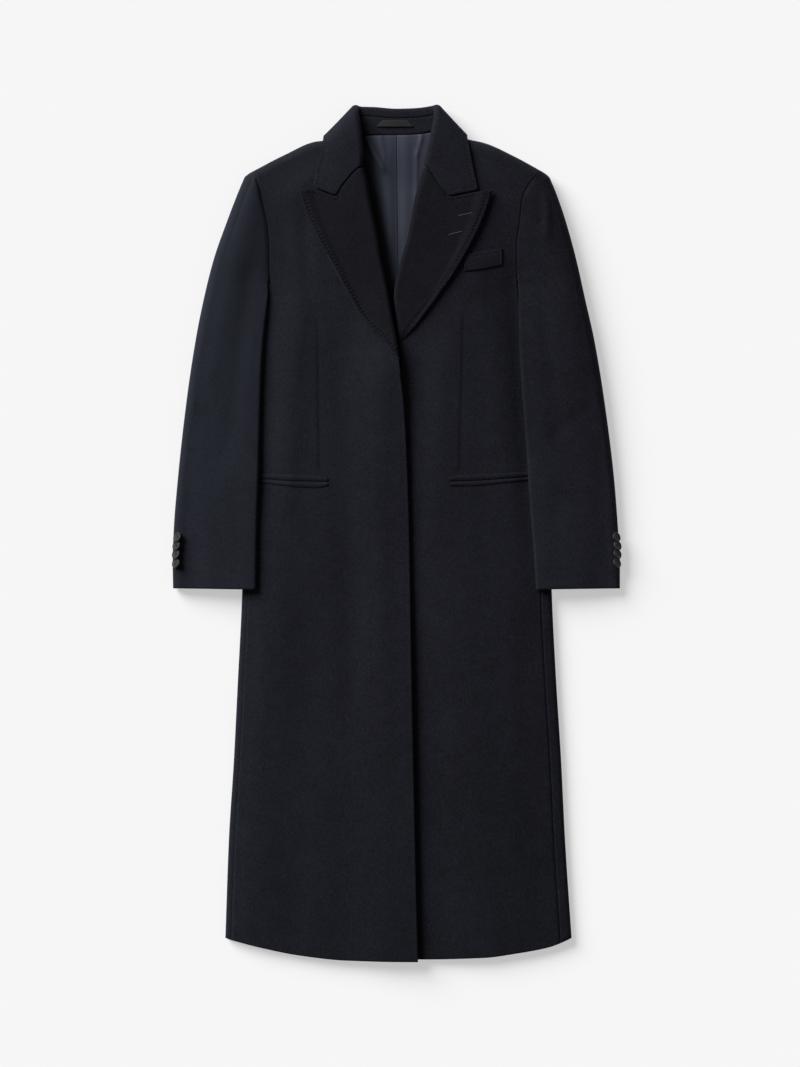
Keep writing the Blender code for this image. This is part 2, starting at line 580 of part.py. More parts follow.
def build_sleeve(which):
    top, under, first_folded = sleeve(which)
    for grid, kind, inner_columns, outward, gap in ((top, "top", TOP_INNER_ARC, 1, 1.5 * GAP),
                                                    (under, "under", UNDER_INNER_ARC, -1, 3 * GAP)):
        last_flat = grid.shape[1] - len(inner_columns) - 1
        seam = grid[: first_folded + 1, : last_flat + 1]
        grid = pull_in(grid, ["first column", "last column"])
        grid[:first_folded, last_flat] = pull_in(seam, ["last column"], gap)[:-1, -1]
        grid = pull_in(grid, ["first row"], 0.0010)

        def keep(row, column, last_flat=last_flat):
            return column < last_flat or row >= first_folded

        wall(f"sleeve_{which}_{kind}", grid, WOOL, outward=outward, keep=keep)


# ---------------------------------------------------------------- lapels

LAPEL_OUTER = {  # (y, x) of each lapel's outer edge, from the break to the tip
    "right": Curve([(0.2560, 0.0010), (0.2620, -0.0040), (0.2764, -0.0150), (0.2866, -0.0253),
                    (0.3187, -0.0530), (0.3567, -0.0749), (0.3946, -0.0953), (0.4297, -0.1143),
                    (0.4560, -0.1275), (0.4808, -0.1362), (0.4910, -0.1391), (0.4985, -0.1394)]),
    "left": Curve([(0.2735, 0.0039), (0.2840, 0.0120), (0.3114, 0.0346), (0.3435, 0.0594),
                   (0.3684, 0.0769), (0.3932, 0.0930), (0.4195, 0.1076), (0.4487, 0.1222),
                   (0.4749, 0.1324), (0.4939, 0.1383), (0.4990, 0.1405)]),
}
LAPEL_ROWS = {  # (y on the rolled edge, y on the outer edge), from the break to the tip
    "right": [(0.2510, 0.2610), (0.2640, 0.2750), (0.2830, 0.2960), (0.3114, 0.3250),
              (0.3450, 0.3600), (0.3800, 0.3940), (0.4150, 0.4280), (0.4500, 0.4530),
              (0.4800, 0.4720), (0.5050, 0.4860), (0.5200, 0.4930), (0.5328, 0.4985)],
    "left": [(0.2785, 0.2840), (0.2900, 0.3000), (0.3110, 0.3250), (0.3450, 0.3600),
             (0.3800, 0.3940), (0.4150, 0.4280), (0.4500, 0.4530), (0.4800, 0.4720),
             (0.5050, 0.4860), (0.5200, 0.4930), (0.5328, 0.4990)],
}
LAPEL_TOP = {  # (share of the width, x, y) along the gorge seam, the notch and the top edge
    "right": Curve([(0.00, -0.0560, 0.5290), (0.10, -0.0620, 0.5238), (0.22, -0.0691, 0.5158),
                    (0.33, -0.0793, 0.5035), (0.44, -0.0885, 0.4898), (0.62, -0.1041, 0.4943),
                    (0.80, -0.1216, 0.5006), (0.92, -0.1333, 0.5010), (1.00, -0.1391, 0.4985)]),
    "left": Curve([(0.00, 0.0470, 0.5280), (0.10, 0.0520, 0.5210), (0.22, 0.0570, 0.5130),
                   (0.33, 0.0660, 0.5005), (0.44, 0.0777, 0.4885), (0.62, 0.0974, 0.4920),
                   (0.80, 0.1164, 0.4962), (0.92, 0.1295, 0.4980), (1.00, 0.1405, 0.4990)]),
}
LEAF_SHARES = [0.10, 0.22, 0.33, 0.44, 0.62, 0.80, 0.92, 1]
LEG_ANGLES = [-90, -45, 0, 45, 90]  # degrees round the roll, from inside the coat to the top
LAPEL_TOP_FADE = 0.35  # share of the lapel's length that its top edge's shape reaches down
LAPEL_REST = 0.0008  # between a lapel and the front it lies on
LAPEL_EDGE_LIFT = 0.0028
LAPEL_ROLL = (2 * DOUBLE + WOOL + 2 * GAP) / 2


def lapel(which):
    rows = LAPEL_ROWS[which]
    grid = []
    for index, (roll_y, outer_y) in enumerate(rows):
        along = index / (len(rows) - 1)
        rolled = np.array([float(roll[which](roll_y)), roll_y])
        outer = np.array([float(LAPEL_OUTER[which](outer_y)), outer_y])
        across = (outer - rolled) / np.linalg.norm(outer - rolled)
        radius = LAPEL_ROLL + ROLL_GROWTH * float(smooth(0, 1, along))
        centre = rolled + across * radius
        middle = float(lap_height(which, *centre)) - WOOL / 2
        width = np.linalg.norm(outer - centre)
        leg = min(FACING - 0.004 * float(smooth(0.7, 1, along)), width * 0.8)
        line = [[*(centre + across * leg), middle - radius]]
        for degrees in LEG_ANGLES:
            angle = np.radians(degrees)
            plan = centre - across * radius * np.cos(angle)
            line.append([*plan, middle + radius * np.sin(angle)])
        top_start, top_end = LAPEL_TOP[which](0), LAPEL_TOP[which](1)
        reach = float(smooth(1 - LAPEL_TOP_FADE, 1, along))
        for share in LEAF_SHARES:
            plan = centre * (1 - share) + outer * share
            straight = top_start * (1 - share) + top_end * share
            plan = plan + (LAPEL_TOP[which](share) - straight) * reach
            rest = float(lap_height(which, *plan)) + LAPEL_REST + DOUBLE
            rest += LAPEL_EDGE_LIFT * float(smooth(0.76, 0.92, share))
            puff = (middle + radius - rest) * float(smooth(0.5, 0, share))
            line.append([*plan, rest + max(puff, 0)])
        grid.append(line)
    return np.array(grid)


# ---------------------------------------------------------------- collar

# Sections across the collar, from the right gorge round the back of the neck to the left one.
# (x, y, z of the rolled edge; x, y, z of the outer edge; turn; roll radius; fall; stand)
# turn is the direction that the leaf's outer face looks in: 0 is up and 180 down.
COLLAR_SECTIONS = [
    (-0.0490, 0.5346, 0.0265, -0.1202, 0.5056, 0.0325, 0, 0.0075, 0.0080, 0.0070),
    (-0.0475, 0.5523, 0.0270, -0.1165, 0.5275, 0.0325, 0, 0.0076, 0.0090, 0.0100),
    (-0.0490, 0.5740, 0.0275, -0.1100, 0.5500, 0.0325, 0, 0.0076, 0.0095, 0.0120),
    (-0.0515, 0.5930, 0.0270, -0.1085, 0.5640, 0.0310, 10, 0.0074, 0.0095, 0.0120),
    (-0.0545, 0.6090, 0.0245, -0.1072, 0.5735, 0.0260, 35, 0.0070, 0.0095, 0.0160),
    (-0.0560, 0.6180, 0.0200, -0.1066, 0.5785, 0.0180, 75, 0.0066, 0.0090, 0.0200),
    (-0.0550, 0.6228, 0.0130, -0.1045, 0.5775, 0.0090, 115, 0.0062, 0.0085, 0.0240),
    (-0.0530, 0.6226, 0.0095, -0.0998, 0.5730, 0.0014, 148, 0.0060, 0.0083, 0.0270),
    (-0.0490, 0.6223, 0.0070, -0.0860, 0.5640, 0.0000, 170, 0.0060, 0.0083, 0.0280),
    (-0.0330, 0.6220, 0.0060, -0.0450, 0.5590, 0.0000, 180, 0.0060, 0.0083, 0.0270),
    (-0.0004, 0.6195, 0.0060, -0.0004, 0.5570, 0.0000, 180, 0.0060, 0.0083, 0.0240),
    (0.0300, 0.6205, 0.0060, 0.0430, 0.5590, 0.0000, 180, 0.0060, 0.0083, 0.0235),
    (0.0480, 0.6228, 0.0070, 0.0840, 0.5640, 0.0000, 170, 0.0060, 0.0083, 0.0210),
    (0.0525, 0.6234, 0.0095, 0.0980, 0.5735, 0.0014, 148, 0.0060, 0.0083, 0.0210),
    (0.0545, 0.6234, 0.0130, 0.1015, 0.5775, 0.0090, 115, 0.0062, 0.0085, 0.0220),
    (0.0558, 0.6198, 0.0200, 0.1040, 0.5800, 0.0180, 75, 0.0066, 0.0090, 0.0200),
    (0.0550, 0.6110, 0.0245, 0.1045, 0.5740, 0.0260, 35, 0.0070, 0.0095, 0.0160),
    (0.0525, 0.5950, 0.0270, 0.1066, 0.5620, 0.0310, 10, 0.0074, 0.0095, 0.0120),
    (0.0490, 0.5780, 0.0275, 0.1095, 0.5460, 0.0325, 0, 0.0076, 0.0095, 0.0120),
    (0.0441, 0.5560, 0.0270, 0.1143, 0.5225, 0.0325, 0, 0.0076, 0.0090, 0.0100),
    (0.0398, 0.5346, 0.0265, 0.1193, 0.5005, 0.0325, 0, 0.0075, 0.0080, 0.0070),
]
COLLAR_END = {  # (share of the width, x, y) along the gorge seam, the notch and the collar's point
    "right": Curve([(0.00, -0.0560, 0.5300), (0.10, -0.0620, 0.5249), (0.22, -0.0691, 0.5171),
                    (0.33, -0.0793, 0.5049), (0.44, -0.0885, 0.4914), (0.62, -0.1010, 0.4958),
                    (0.80, -0.1120, 0.5000), (0.92, -0.1172, 0.5022), (1.00, -0.1202, 0.5056)]),
    "left": Curve([(0.00, 0.0470, 0.5296), (0.10, 0.0520, 0.5227), (0.22, 0.0570, 0.5147),
                   (0.33, 0.0660, 0.5019), (0.44, 0.0777, 0.4900), (0.62, 0.0920, 0.4932),
                   (0.80, 0.1060, 0.4962), (0.92, 0.1164, 0.4987), (1.00, 0.1193, 0.5005)]),
}
END_REACH = [1, 0.55, 0.15]  # how much of the end's shape each of its sections takes


class CollarSection:
    def __init__(self, index):
        row = COLLAR_SECTIONS[index]
        self.edge, self.outer = np.array(row[0:3]), np.array(row[3:6])
        turn, self.radius, self.fall, self.stand = row[6:]
        across = (self.outer - self.edge) * (1, 1, 0)
        self.across = across / np.linalg.norm(across)
        away = np.array([-self.across[1], self.across[0], 0])
        away *= np.sign(away @ (np.sign(self.edge[0]) * np.array([1, 0, 0]) + np.array([0, 0.2, 0])))
        turn = np.radians(turn)
        self.face = np.array([0, 0, np.cos(turn)]) + away * np.sin(turn)
        self.centre = self.edge + self.across * self.radius
        self.which = "right" if self.edge[0] < 0 else "left"
        end = min(index, len(COLLAR_SECTIONS) - 1 - index)
        self.reach = END_REACH[end] if end < len(END_REACH) else 0

    def inside(self, distance):
        """A point on the face towards the neck, below the roll."""
        return self.centre - self.face * self.radius + self.across * distance

    def arc(self, degrees):
        angle = np.radians(degrees)
        return self.centre + (self.face * np.sin(angle) - self.across * np.cos(angle)) * self.radius

    def leaf(self, share):
        start = self.arc(90)
        length = np.linalg.norm(self.outer - start)
        bend = start + self.across * length * 0.35
        point = start * (1 - share) ** 2 + bend * 2 * share * (1 - share) + self.outer * share**2
        plain = start * (1 - share) + self.outer * share
        point[:2] = plain[:2]
        if self.reach:
            end = COLLAR_END[self.which]
            straight = end(0) * (1 - share) + end(1) * share
            point[:2] += (end(share) - straight) * self.reach
        return point


def build_collar():
    sections = [CollarSection(index) for index in range(len(COLLAR_SECTIONS))]
    leaf = [
        [section.inside(section.fall)]
        + [section.arc(degrees) for degrees in LEG_ANGLES]
        + [section.leaf(share) for share in LEAF_SHARES]
        for section in sections
    ]
    wall("collar", pull_in(np.array(leaf), ["first column"]), DOUBLE, outward=-1)
    stand = [
        [section.inside(section.fall + (section.stand - GAP) * share + GAP) for share in (0, 0.5, 1)]
        for section in sections
    ]
    wall("collar_stand", pull_in(np.array(stand), ["first column"], GAP), WOOL)


# ---------------------------------------------------------------- lining and small parts

LINING_TOP = Curve([(-0.0800, 0.5740), (-0.0600, 0.5770), (-0.0442, 0.5784), (-0.0019, 0.5792),
                    (0.0185, 0.5794), (0.0379, 0.5806), (0.0507, 0.5820), (0.0800, 0.5740)])
LINING_SEAM = Curve([(0.2600, 0.0025), (0.3844, 0.0025), (0.5810, 0.0003)])  # (y, x)
LINING_EDGE = Curve([(0.2600, 0.0400), (0.5000, 0.0700), (0.5810, 0.0750)])  # (y, x)
LINING_BOTTOM = 0.2600
LINING_REACH = 0.012

LOOP = [(-0.0296, 0.5925), (0.0251, 0.5925), (0.0164, 0.6020), (-0.0201, 0.6020)]
LOOP_THICKNESS = 0.0015
STAND_TOP = 0.0120  # height of the stand's face at the back of the neck

WELT_THICKNESS = 0.0022
WELT_UPPER = Curve([(0.0990, 0.4058), (0.1061, 0.4070), (0.1339, 0.4114), (0.1540, 0.4148)])
WELT_LOWER = Curve([(0.0830, 0.3797), (0.1222, 0.3840), (0.1543, 0.3903)])

# For each pocket: its ends' x, then (x, y) of its upper edge, its opening and its lower edge.
POCKETS = {
    "right": ((-0.2016, -0.0997),
              Curve([(-0.2016, 0.0868), (-0.1552, 0.0858), (-0.1260, 0.0844), (-0.0997, 0.0815)]),
              Curve([(-0.2016, 0.0800), (-0.1552, 0.0763), (-0.1260, 0.0755), (-0.0997, 0.0750)]),
              Curve([(-0.2016, 0.0745), (-0.1698, 0.0698), (-0.1187, 0.0661), (-0.0997, 0.0691)])),
    "left": ((0.0769, 0.1932),
             Curve([(0.0769, 0.0822), (0.0930, 0.0851), (0.1222, 0.0866), (0.1932, 0.0898)]),
             Curve([(0.0769, 0.0755), (0.1222, 0.0772), (0.1932, 0.0825)]),
             Curve([(0.0769, 0.0686), (0.1149, 0.0691), (0.1514, 0.0727), (0.1932, 0.0770)])),
}

CUFF_BUTTONS = {  # (x, y) of each cuff button's middle, from the top one down
    "right": [(-0.3190, -0.0054), (-0.3202, -0.0178), (-0.3209, -0.0302), (-0.3209, -0.0434)],
    "left": [(0.3208, -0.0054), (0.3222, -0.0178), (0.3222, -0.0302), (0.3215, -0.0434)],
}
BUTTON_SINK = {"right": 0.0011, "left": 0.0007}  # how far the fold's curve lets the buttons down
BUTTON_SIDES = 16
BUTTON_PROFILE = [  # (share of the radius, share of the thickness) from the back to the front
    (0.0, 0.0), (0.84, 0.0), (1.0, 0.28), (1.0, 0.72), (0.90, 1.0), (0.74, 1.0), (0.60, 0.78),
    (0.0, 0.74),
]


def panel_heights(panel, x, y, reach):
    """The highest places of a panel's upper face within reach of each of the given places."""
    mesh = panel.data
    tree = BVHTree.FromPolygons([v.co for v in mesh.vertices], [p.vertices for p in mesh.polygons])
    heights = []
    for a, b in zip(np.ravel(x), np.ravel(y)):
        around = [(a + i * reach, b + j * reach, 1) for i in (-1, 0, 1) for j in (-1, 0, 1)]
        hits = [tree.ray_cast(place, (0, 0, -1))[0] for place in around]
        heights.append(max(hit.z for hit in hits if hit))
    return np.reshape(heights, np.shape(x))


def strip(name, panel, ends, upper, lower, thickness, columns=9, rows=3):
    """A narrow piece that lies on a panel between two lines, each of them read by x."""
    x = np.linspace(*ends, columns)[None, :] + np.zeros((rows, 1))
    share = np.linspace(0, 1, rows)[:, None]
    y = lower(x) * (1 - share) + upper(x) * share
    grid = np.stack([x, y, panel_heights(panel, x, y, STRIP_REACH) + GAP + thickness], -1)
    return wall(name, grid, thickness)


def build_pockets(which, panel):
    ends, upper, opening, lower = POCKETS[which]
    lift = GAP / 2
    strip(f"pocket_{which}_upper_jet", panel, ends, upper, lambda x: opening(x) + lift, JET)
    strip(f"pocket_{which}_lower_jet", panel, ends, lambda x: opening(x) - lift, lower, JET)


def build_lining(panel):
    level = np.linspace(LINING_BOTTOM, 0.5700, 9)
    for which, sign in SIGN.items():
        share = np.linspace(0, 1, 6)
        seam = LINING_SEAM(level) + sign * GAP / 2
        x = seam[:, None] * (1 - share) + sign * LINING_EDGE(level)[:, None] * share
        rise = np.clip((level[:, None] - 0.5000) / (level[-1] - 0.5000), 0, 1)
        y = level[:, None] + (LINING_TOP(x[-1]) - level[-1]) * rise
        grid = np.stack([x, y, panel_heights(panel, x, y, LINING_REACH) + GAP + SATIN], -1)
        wall(f"lining_{which}", grid, SATIN, "satin")


def build_loop():
    bottom_start, bottom_end, top_end, top_start = np.array(LOOP)
    share = np.linspace(0, 1, 4)
    rows = [mix(bottom_start, bottom_end, share), mix(top_start, top_end, share)]
    height = np.full((2, 4, 1), STAND_TOP + GAP + LOOP_THICKNESS)
    wall("hanger_loop", np.concatenate([rows, height], -1), LOOP_THICKNESS, "ribbon")


def build_button(name, which, x, y):
    """A cuff button that leans with the sleeve's outer fold and tips over the next one down."""
    outward, radius = SIGN[which], float(SLEEVE_RADIUS(y))
    lean, tip = np.radians(BUTTON_LEAN), np.radians(BUTTON_SHINGLE)
    normal = Vector((outward * np.sin(lean), 0, np.cos(lean)))
    upslope = Vector((-outward * np.cos(lean), 0, np.sin(lean)))
    off = radius + BUTTON_THICKNESS / 2 + BUTTON_RADIUS * np.sin(tip) - BUTTON_SINK[which]
    fold = Vector((float(sleeve_outside[which](y)) - outward * radius, y, radius))
    middle = fold + normal * off
    middle += upslope * ((x - middle.x) / upslope.x)
    down = Vector((0, -1, 0)) * np.cos(tip) + normal * np.sin(tip)
    axis = upslope.cross(down)
    axis = axis if axis.dot(normal) > 0 else -axis
    turn = Matrix((down, axis.cross(down), axis)).transposed()
    points, faces = [], []
    for share, height in BUTTON_PROFILE:
        for side_number in range(BUTTON_SIDES if share else 1):
            angle = 2 * np.pi * side_number / BUTTON_SIDES
            place = Vector((np.cos(angle), np.sin(angle), 0)) * share * BUTTON_RADIUS
            place.z = (height - 0.5) * BUTTON_THICKNESS
            points.append(middle + turn @ place)
    last = len(points) - 1
    rings = len(BUTTON_PROFILE) - 2
    for k in range(BUTTON_SIDES):
        after = (k + 1) % BUTTON_SIDES
        faces.append((0, 1 + after, 1 + k))
        for ring in range(rings - 1):
            low, high = 1 + ring * BUTTON_SIDES, 1 + (ring + 1) * BUTTON_SIDES
            faces.append((low + k, low + after, high + after, high + k))
        faces.append((last - BUTTON_SIDES + k, last - BUTTON_SIDES + after, last))
    add_object(name, points, faces, "horn", sharp=30)


# ---------------------------------------------------------------- start

for old in list(bpy.data.objects):
    bpy.data.objects.remove(old)


def make_material(name):
    material = bpy.data.materials.new(name)
    material.use_nodes = True
    shader = material.node_tree.nodes["Principled BSDF"]
    shader.inputs["Base Color"].default_value = (*COLOURS[name], 1)
    shader.inputs["Roughness"].default_value = ROUGHNESS[name]
    shader.inputs["Metallic"].default_value = 0
    return material


MATERIALS = {name: make_material(name) for name in COLOURS}
for which in SIGN:
    panel = wall(f"front_{which}", front(which), WOOL)
    build_pockets(which, panel)
    if which == "left":
        strip("breast_welt", panel, (0.0990, 0.1543), WELT_UPPER, WELT_LOWER, WELT_THICKNESS, 7)
    wall(f"lapel_{which}", lapel(which), DOUBLE, outward=1)
    build_sleeve(which)
    for number, place in enumerate(CUFF_BUTTONS[which], 1):
        build_button(f"cuff_button_{which}_{number}", which, *place)
build_collar()
build_lining(build_back())
build_loop()
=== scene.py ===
"""A long dark wool overcoat, laid face up on a pale floor: its cloth, sewing, buttons, finishes and light.

Metres, +Z up, +Y from hem to collar. "right" and "left" are the wearer's: the right side lies towards -X.
Every piece of cloth is a thin shell with rounded edges, worked out from the same sizes as its solid.
"""

import json

import bpy
import numpy as np
from mathutils import Matrix, Vector

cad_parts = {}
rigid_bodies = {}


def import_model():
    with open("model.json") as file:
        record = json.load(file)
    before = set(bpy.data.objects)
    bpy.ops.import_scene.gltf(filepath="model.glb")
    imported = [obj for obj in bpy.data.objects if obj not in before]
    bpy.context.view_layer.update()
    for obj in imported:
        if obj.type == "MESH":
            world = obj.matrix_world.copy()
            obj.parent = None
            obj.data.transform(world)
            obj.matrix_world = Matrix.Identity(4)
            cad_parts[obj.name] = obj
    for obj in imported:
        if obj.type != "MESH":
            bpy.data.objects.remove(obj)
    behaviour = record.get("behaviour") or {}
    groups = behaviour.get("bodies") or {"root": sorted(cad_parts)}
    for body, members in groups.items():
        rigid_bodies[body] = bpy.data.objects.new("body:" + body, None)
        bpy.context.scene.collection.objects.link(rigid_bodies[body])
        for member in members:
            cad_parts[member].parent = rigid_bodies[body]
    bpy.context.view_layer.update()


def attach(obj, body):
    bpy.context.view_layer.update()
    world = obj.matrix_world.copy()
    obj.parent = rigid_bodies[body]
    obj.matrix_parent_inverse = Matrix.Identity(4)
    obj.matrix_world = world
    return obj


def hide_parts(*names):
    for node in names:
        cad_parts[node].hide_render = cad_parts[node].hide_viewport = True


for old in list(bpy.data.objects):
    bpy.data.objects.remove(old)

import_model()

# ---------------------------------------------------------------- sizes

WOOL = 0.0026  # one layer of coating with its interlining
DOUBLE = 0.0036  # two pressed layers, in the collar and the lapels
SATIN = 0.0010
JET = 0.0016
GAP = 0.0003  # between pieces that touch
SEAM_GAP = GAP / 2  # from a seam to the edge of the front beside it
SEAM_MEETS = -0.0001  # the same for the back and the sleeves, which reach over the seam to the fronts
STEP = 0.0038  # between the rows and columns of a large panel's points
SEAM_ROUND = 0.0006  # how far a seamed edge bulges
FLAT_SEAM_ROUND = 0.0002  # the same at a seam that is pressed flat
EDGE_ROUND = 0.0013  # how far a turned free edge bulges
THIN_ROUND = 0.0003  # the same for thin pieces

SHOULDER_RADIUS = 0.013  # half the coat's height along the shoulder folds
ROLL_GROWTH = 0.0021  # how much rounder a lapel's roll is at the gorge than at the break
FACING = 0.013  # how far a lapel runs back inside the coat
SLEEVE_FOLD_Y = 0.3655  # where each sleeve's inner fold begins
UNDERARM_Y = 0.3450  # where each armhole ends and the side fold begins
BREAK_Y = 0.2485  # where the right lapel starts to roll

SIGN = {"right": -1, "left": 1}


class Curve:
    """A smooth line through a table's rows, read by the first column."""

    def __init__(self, rows):
        rows = np.array(sorted(rows), float)
        self.at = rows[:, 0]
        self.values = rows[:, 1:]
        secant = np.diff(self.values, axis=0) / np.diff(self.at)[:, None]
        before, after = secant[:-1], secant[1:]
        same_way = before * after > 0
        total = np.where(same_way, before + after, 1)
        self.slope = np.concatenate(
            [secant[:1], np.where(same_way, 2 * before * after / total, 0), secant[-1:]]
        )

    def __call__(self, at):
        at = np.clip(np.asarray(at, float), self.at[0], self.at[-1])
        row = np.clip(np.searchsorted(self.at, at, "right") - 1, 0, len(self.at) - 2)
        step = self.at[row + 1] - self.at[row]
        t = ((at - self.at[row]) / step)[..., None]
        step = step[..., None]
        value = (
            (1 + 2 * t) * (1 - t) ** 2 * self.values[row]
            + t * (1 - t) ** 2 * step * self.slope[row]
            + t * t * (3 - 2 * t) * self.values[row + 1]
            + t * t * (t - 1) * step * self.slope[row + 1]
        )
        return value[..., 0] if self.values.shape[1] == 1 else value


def smooth(start, end, value):
    """0 before start, 1 after end, and a soft step between, whichever of the two is larger."""
    t = np.clip((np.asarray(value, float) - start) / (end - start), 0, 1)
    return t * t * (3 - 2 * t)


def bump(middle, width, value):
    return np.exp(-(((np.asarray(value, float) - middle) / width) ** 2))


def unit(vectors):
    return vectors / np.maximum(np.linalg.norm(vectors, axis=-1, keepdims=True), 1e-12)


def part_way(start, end, share):
    """What lies at a share of the way from start to end."""
    return start * (1 - share) + end * share


# Each table's rows are (y, x) unless its comment says otherwise.
side = {  # the body's side folds
    "right": Curve([(-0.5909, -0.2494), (-0.4478, -0.2443), (-0.3310, -0.2370), (-0.2142, -0.2311),
                    (-0.0974, -0.2253), (0.0486, -0.2216), (0.1654, -0.2194), (0.2530, -0.2107),
                    (0.2968, -0.2019), (UNDERARM_Y, -0.1880)]),
    "left": Curve([(-0.5909, 0.2558), (-0.4478, 0.2463), (-0.3310, 0.2405), (-0.2142, 0.2332),
                   (-0.0974, 0.2273), (0.0486, 0.2229), (0.1654, 0.2186), (0.2530, 0.2083),
                   (0.2968, 0.1967), (UNDERARM_Y, 0.1784)]),
}
armhole = {
    "right": Curve([(UNDERARM_Y, -0.1880), (0.3771, -0.1851), (0.3990, -0.1847), (0.4399, -0.1866),
                    (0.4691, -0.1917), (0.4866, -0.1961), (0.5012, -0.1990), (0.5155, -0.2041)]),
    "left": Curve([(UNDERARM_Y, 0.1784), (0.3698, 0.1762), (0.3961, 0.1755), (0.4209, 0.1757),
                   (0.4545, 0.1799), (0.4866, 0.1835), (0.5012, 0.1890), (0.5155, 0.1978)]),
}
shoulder = {  # (x, y) of the outline along each shoulder, from the sleeve to under the collar
    "right": Curve([(-0.2099, 0.5271), (-0.1640, 0.5509), (-0.1172, 0.5710), (-0.1041, 0.5724),
                    (-0.0800, 0.5800)]),
    "left": Curve([(0.2120, 0.5275), (0.1748, 0.5479), (0.1280, 0.5690), (0.1047, 0.5740),
                   (0.0800, 0.5800)]),
}
sleeve_outside = {
    "right": Curve([(0.5271, -0.2099), (0.5217, -0.2194), (0.5129, -0.2238), (0.4954, -0.2311),
                    (0.4574, -0.2457), (0.3990, -0.2662), (0.3406, -0.2808), (0.2822, -0.2924),
                    (0.1946, -0.3056), (0.0778, -0.3187), (0.0048, -0.3246), (-0.0390, -0.3262),
                    (-0.0805, -0.3256)]),
    "left": Curve([(0.5275, 0.2120), (0.5217, 0.2215), (0.5129, 0.2259), (0.4954, 0.2332),
                   (0.4574, 0.2463), (0.3990, 0.2624), (0.3406, 0.2755), (0.2822, 0.2886),
                   (0.1946, 0.3032), (0.0778, 0.3178), (0.0048, 0.3235), (-0.0390, 0.3262),
                   (-0.0805, 0.3262)]),
}
sleeve_inside = {  # the fold that lies on the body, below the armhole
    "right": Curve([(SLEEVE_FOLD_Y, -0.1859), (0.3450, -0.1870), (0.2968, -0.1918), (0.2530, -0.1953),
                    (0.1946, -0.1975), (0.0778, -0.2005), (0.0048, -0.2029), (-0.0820, -0.2043)]),
    "left": Curve([(SLEEVE_FOLD_Y, 0.1770), (0.3450, 0.1784), (0.2822, 0.1791), (0.2238, 0.1821),
                   (0.1362, 0.1886), (0.0778, 0.1923), (0.0194, 0.1967), (-0.0390, 0.2010),
                   (-0.0825, 0.2034)]),
}
front_edge = {
    "right": Curve([(-0.6244, 0.0317), (-0.5106, 0.0288), (-0.2302, 0.0229), (0.0194, 0.0185),
                    (0.1362, 0.0142), (0.1844, 0.0112), (0.2092, 0.0088), (0.2224, 0.0068),
                    (0.2384, 0.0056), (0.2440, 0.0052)]),
    "left": Curve([(-0.6220, -0.0260), (0.1000, -0.0280), (0.1800, -0.0270), (0.2200, -0.0150),
                   (0.2440, 0.0068)]),
}
roll = {  # the rolled edge of each lapel, from the break to the gorge
    "right": Curve([(BREAK_Y, 0.0047), (0.2720, 0.0025), (0.2822, 0.0010), (0.3114, -0.0048),
                    (0.3406, -0.0099), (0.3698, -0.0150), (0.3990, -0.0216), (0.4282, -0.0260),
                    (0.4574, -0.0318), (0.4866, -0.0377), (0.5158, -0.0428), (0.5340, -0.0490)]),
    "left": Curve([(BREAK_Y, 0.0068), (0.2785, 0.0046), (0.2900, 0.0034), (0.3187, -0.0002),
                   (0.3450, -0.0034), (0.3625, -0.0019), (0.3815, 0.0025), (0.4019, 0.0076),
                   (0.4282, 0.0156), (0.4574, 0.0215), (0.4866, 0.0266), (0.5100, 0.0331),
                   (0.5340, 0.0398)]),
}
neck_edge = {  # the fronts' edge under the collar
    "right": Curve([(0.5340, -0.0560), (0.5450, -0.0640), (0.5600, -0.0720), (0.5680, -0.0760)]),
    "left": Curve([(0.5340, 0.0470), (0.5450, 0.0600), (0.5600, 0.0700), (0.5680, 0.0760)]),
}
hem = {  # (x, y)
    "right": Curve([(-0.2494, -0.5909), (-0.1990, -0.6040), (-0.1406, -0.6157), (-0.0705, -0.6230),
                    (0.0229, -0.6246), (0.0317, -0.6246)]),
    "left": Curve([(-0.0400, -0.6200), (0.0317, -0.6215), (0.1280, -0.6190), (0.1748, -0.6128),
                   (0.2215, -0.6040), (0.2558, -0.5909)]),
}
SIDE_SEAM_INSET = {"right": 0.0080, "left": 0.0160}  # how far each side seam lies inside its side fold
UNDERARM_INSET = 0.0006  # the same where they meet at the underarm
SEAM_TURN = 0.09  # how far below the underarm a side seam starts to run out to its fold
NECK_POINT_X = {"right": -0.0800, "left": 0.0800}
SLEEVE_POINT_X = {"right": -0.2099, "left": 0.2120}

# (y, height of the folds and armhole edges, height in the middle) of the coat's upper face.
HEIGHTS = Curve([
    (-0.6250, 0.0130, 0.0150), (-0.4000, 0.0135, 0.0165), (-0.1000, 0.0140, 0.0185),
    (0.1000, 0.0145, 0.0205), (0.2500, 0.0155, 0.0225), (UNDERARM_Y, 0.0165, 0.0245),
    (0.4200, 0.0220, 0.0265), (0.5000, 0.0260, 0.0280), (0.6000, 0.0260, 0.0280),
])
HEIGHT_SPREAD = 0.070  # how far from an edge the upper face reaches its middle height
EDGE_TURN = 0.030  # how far below the underarm the body's edges are fully rounded
SLEEVE_PRESS = 0.0022  # how deep the left sleeve presses the body in beside it
PRESS_AT = (0.004, 0.012)  # from the sleeve's fold to the deepest line, and the hollow's half width
PRESS_ENDS = (-0.10, 0.05)  # y over which the hollow deepens, from the cuff up
PRESS_FADE = 0.09  # how far above the underarm it is gone
FOLD_MARGIN = (0.002, 0.030)  # from an edge to where the soft folds start, and to where they are full
FOLD_DEPTH = 1.5  # times the heights in the tables of folds
FOLD_FADE = 2.2  # how far past its ends a fold runs out, in half widths

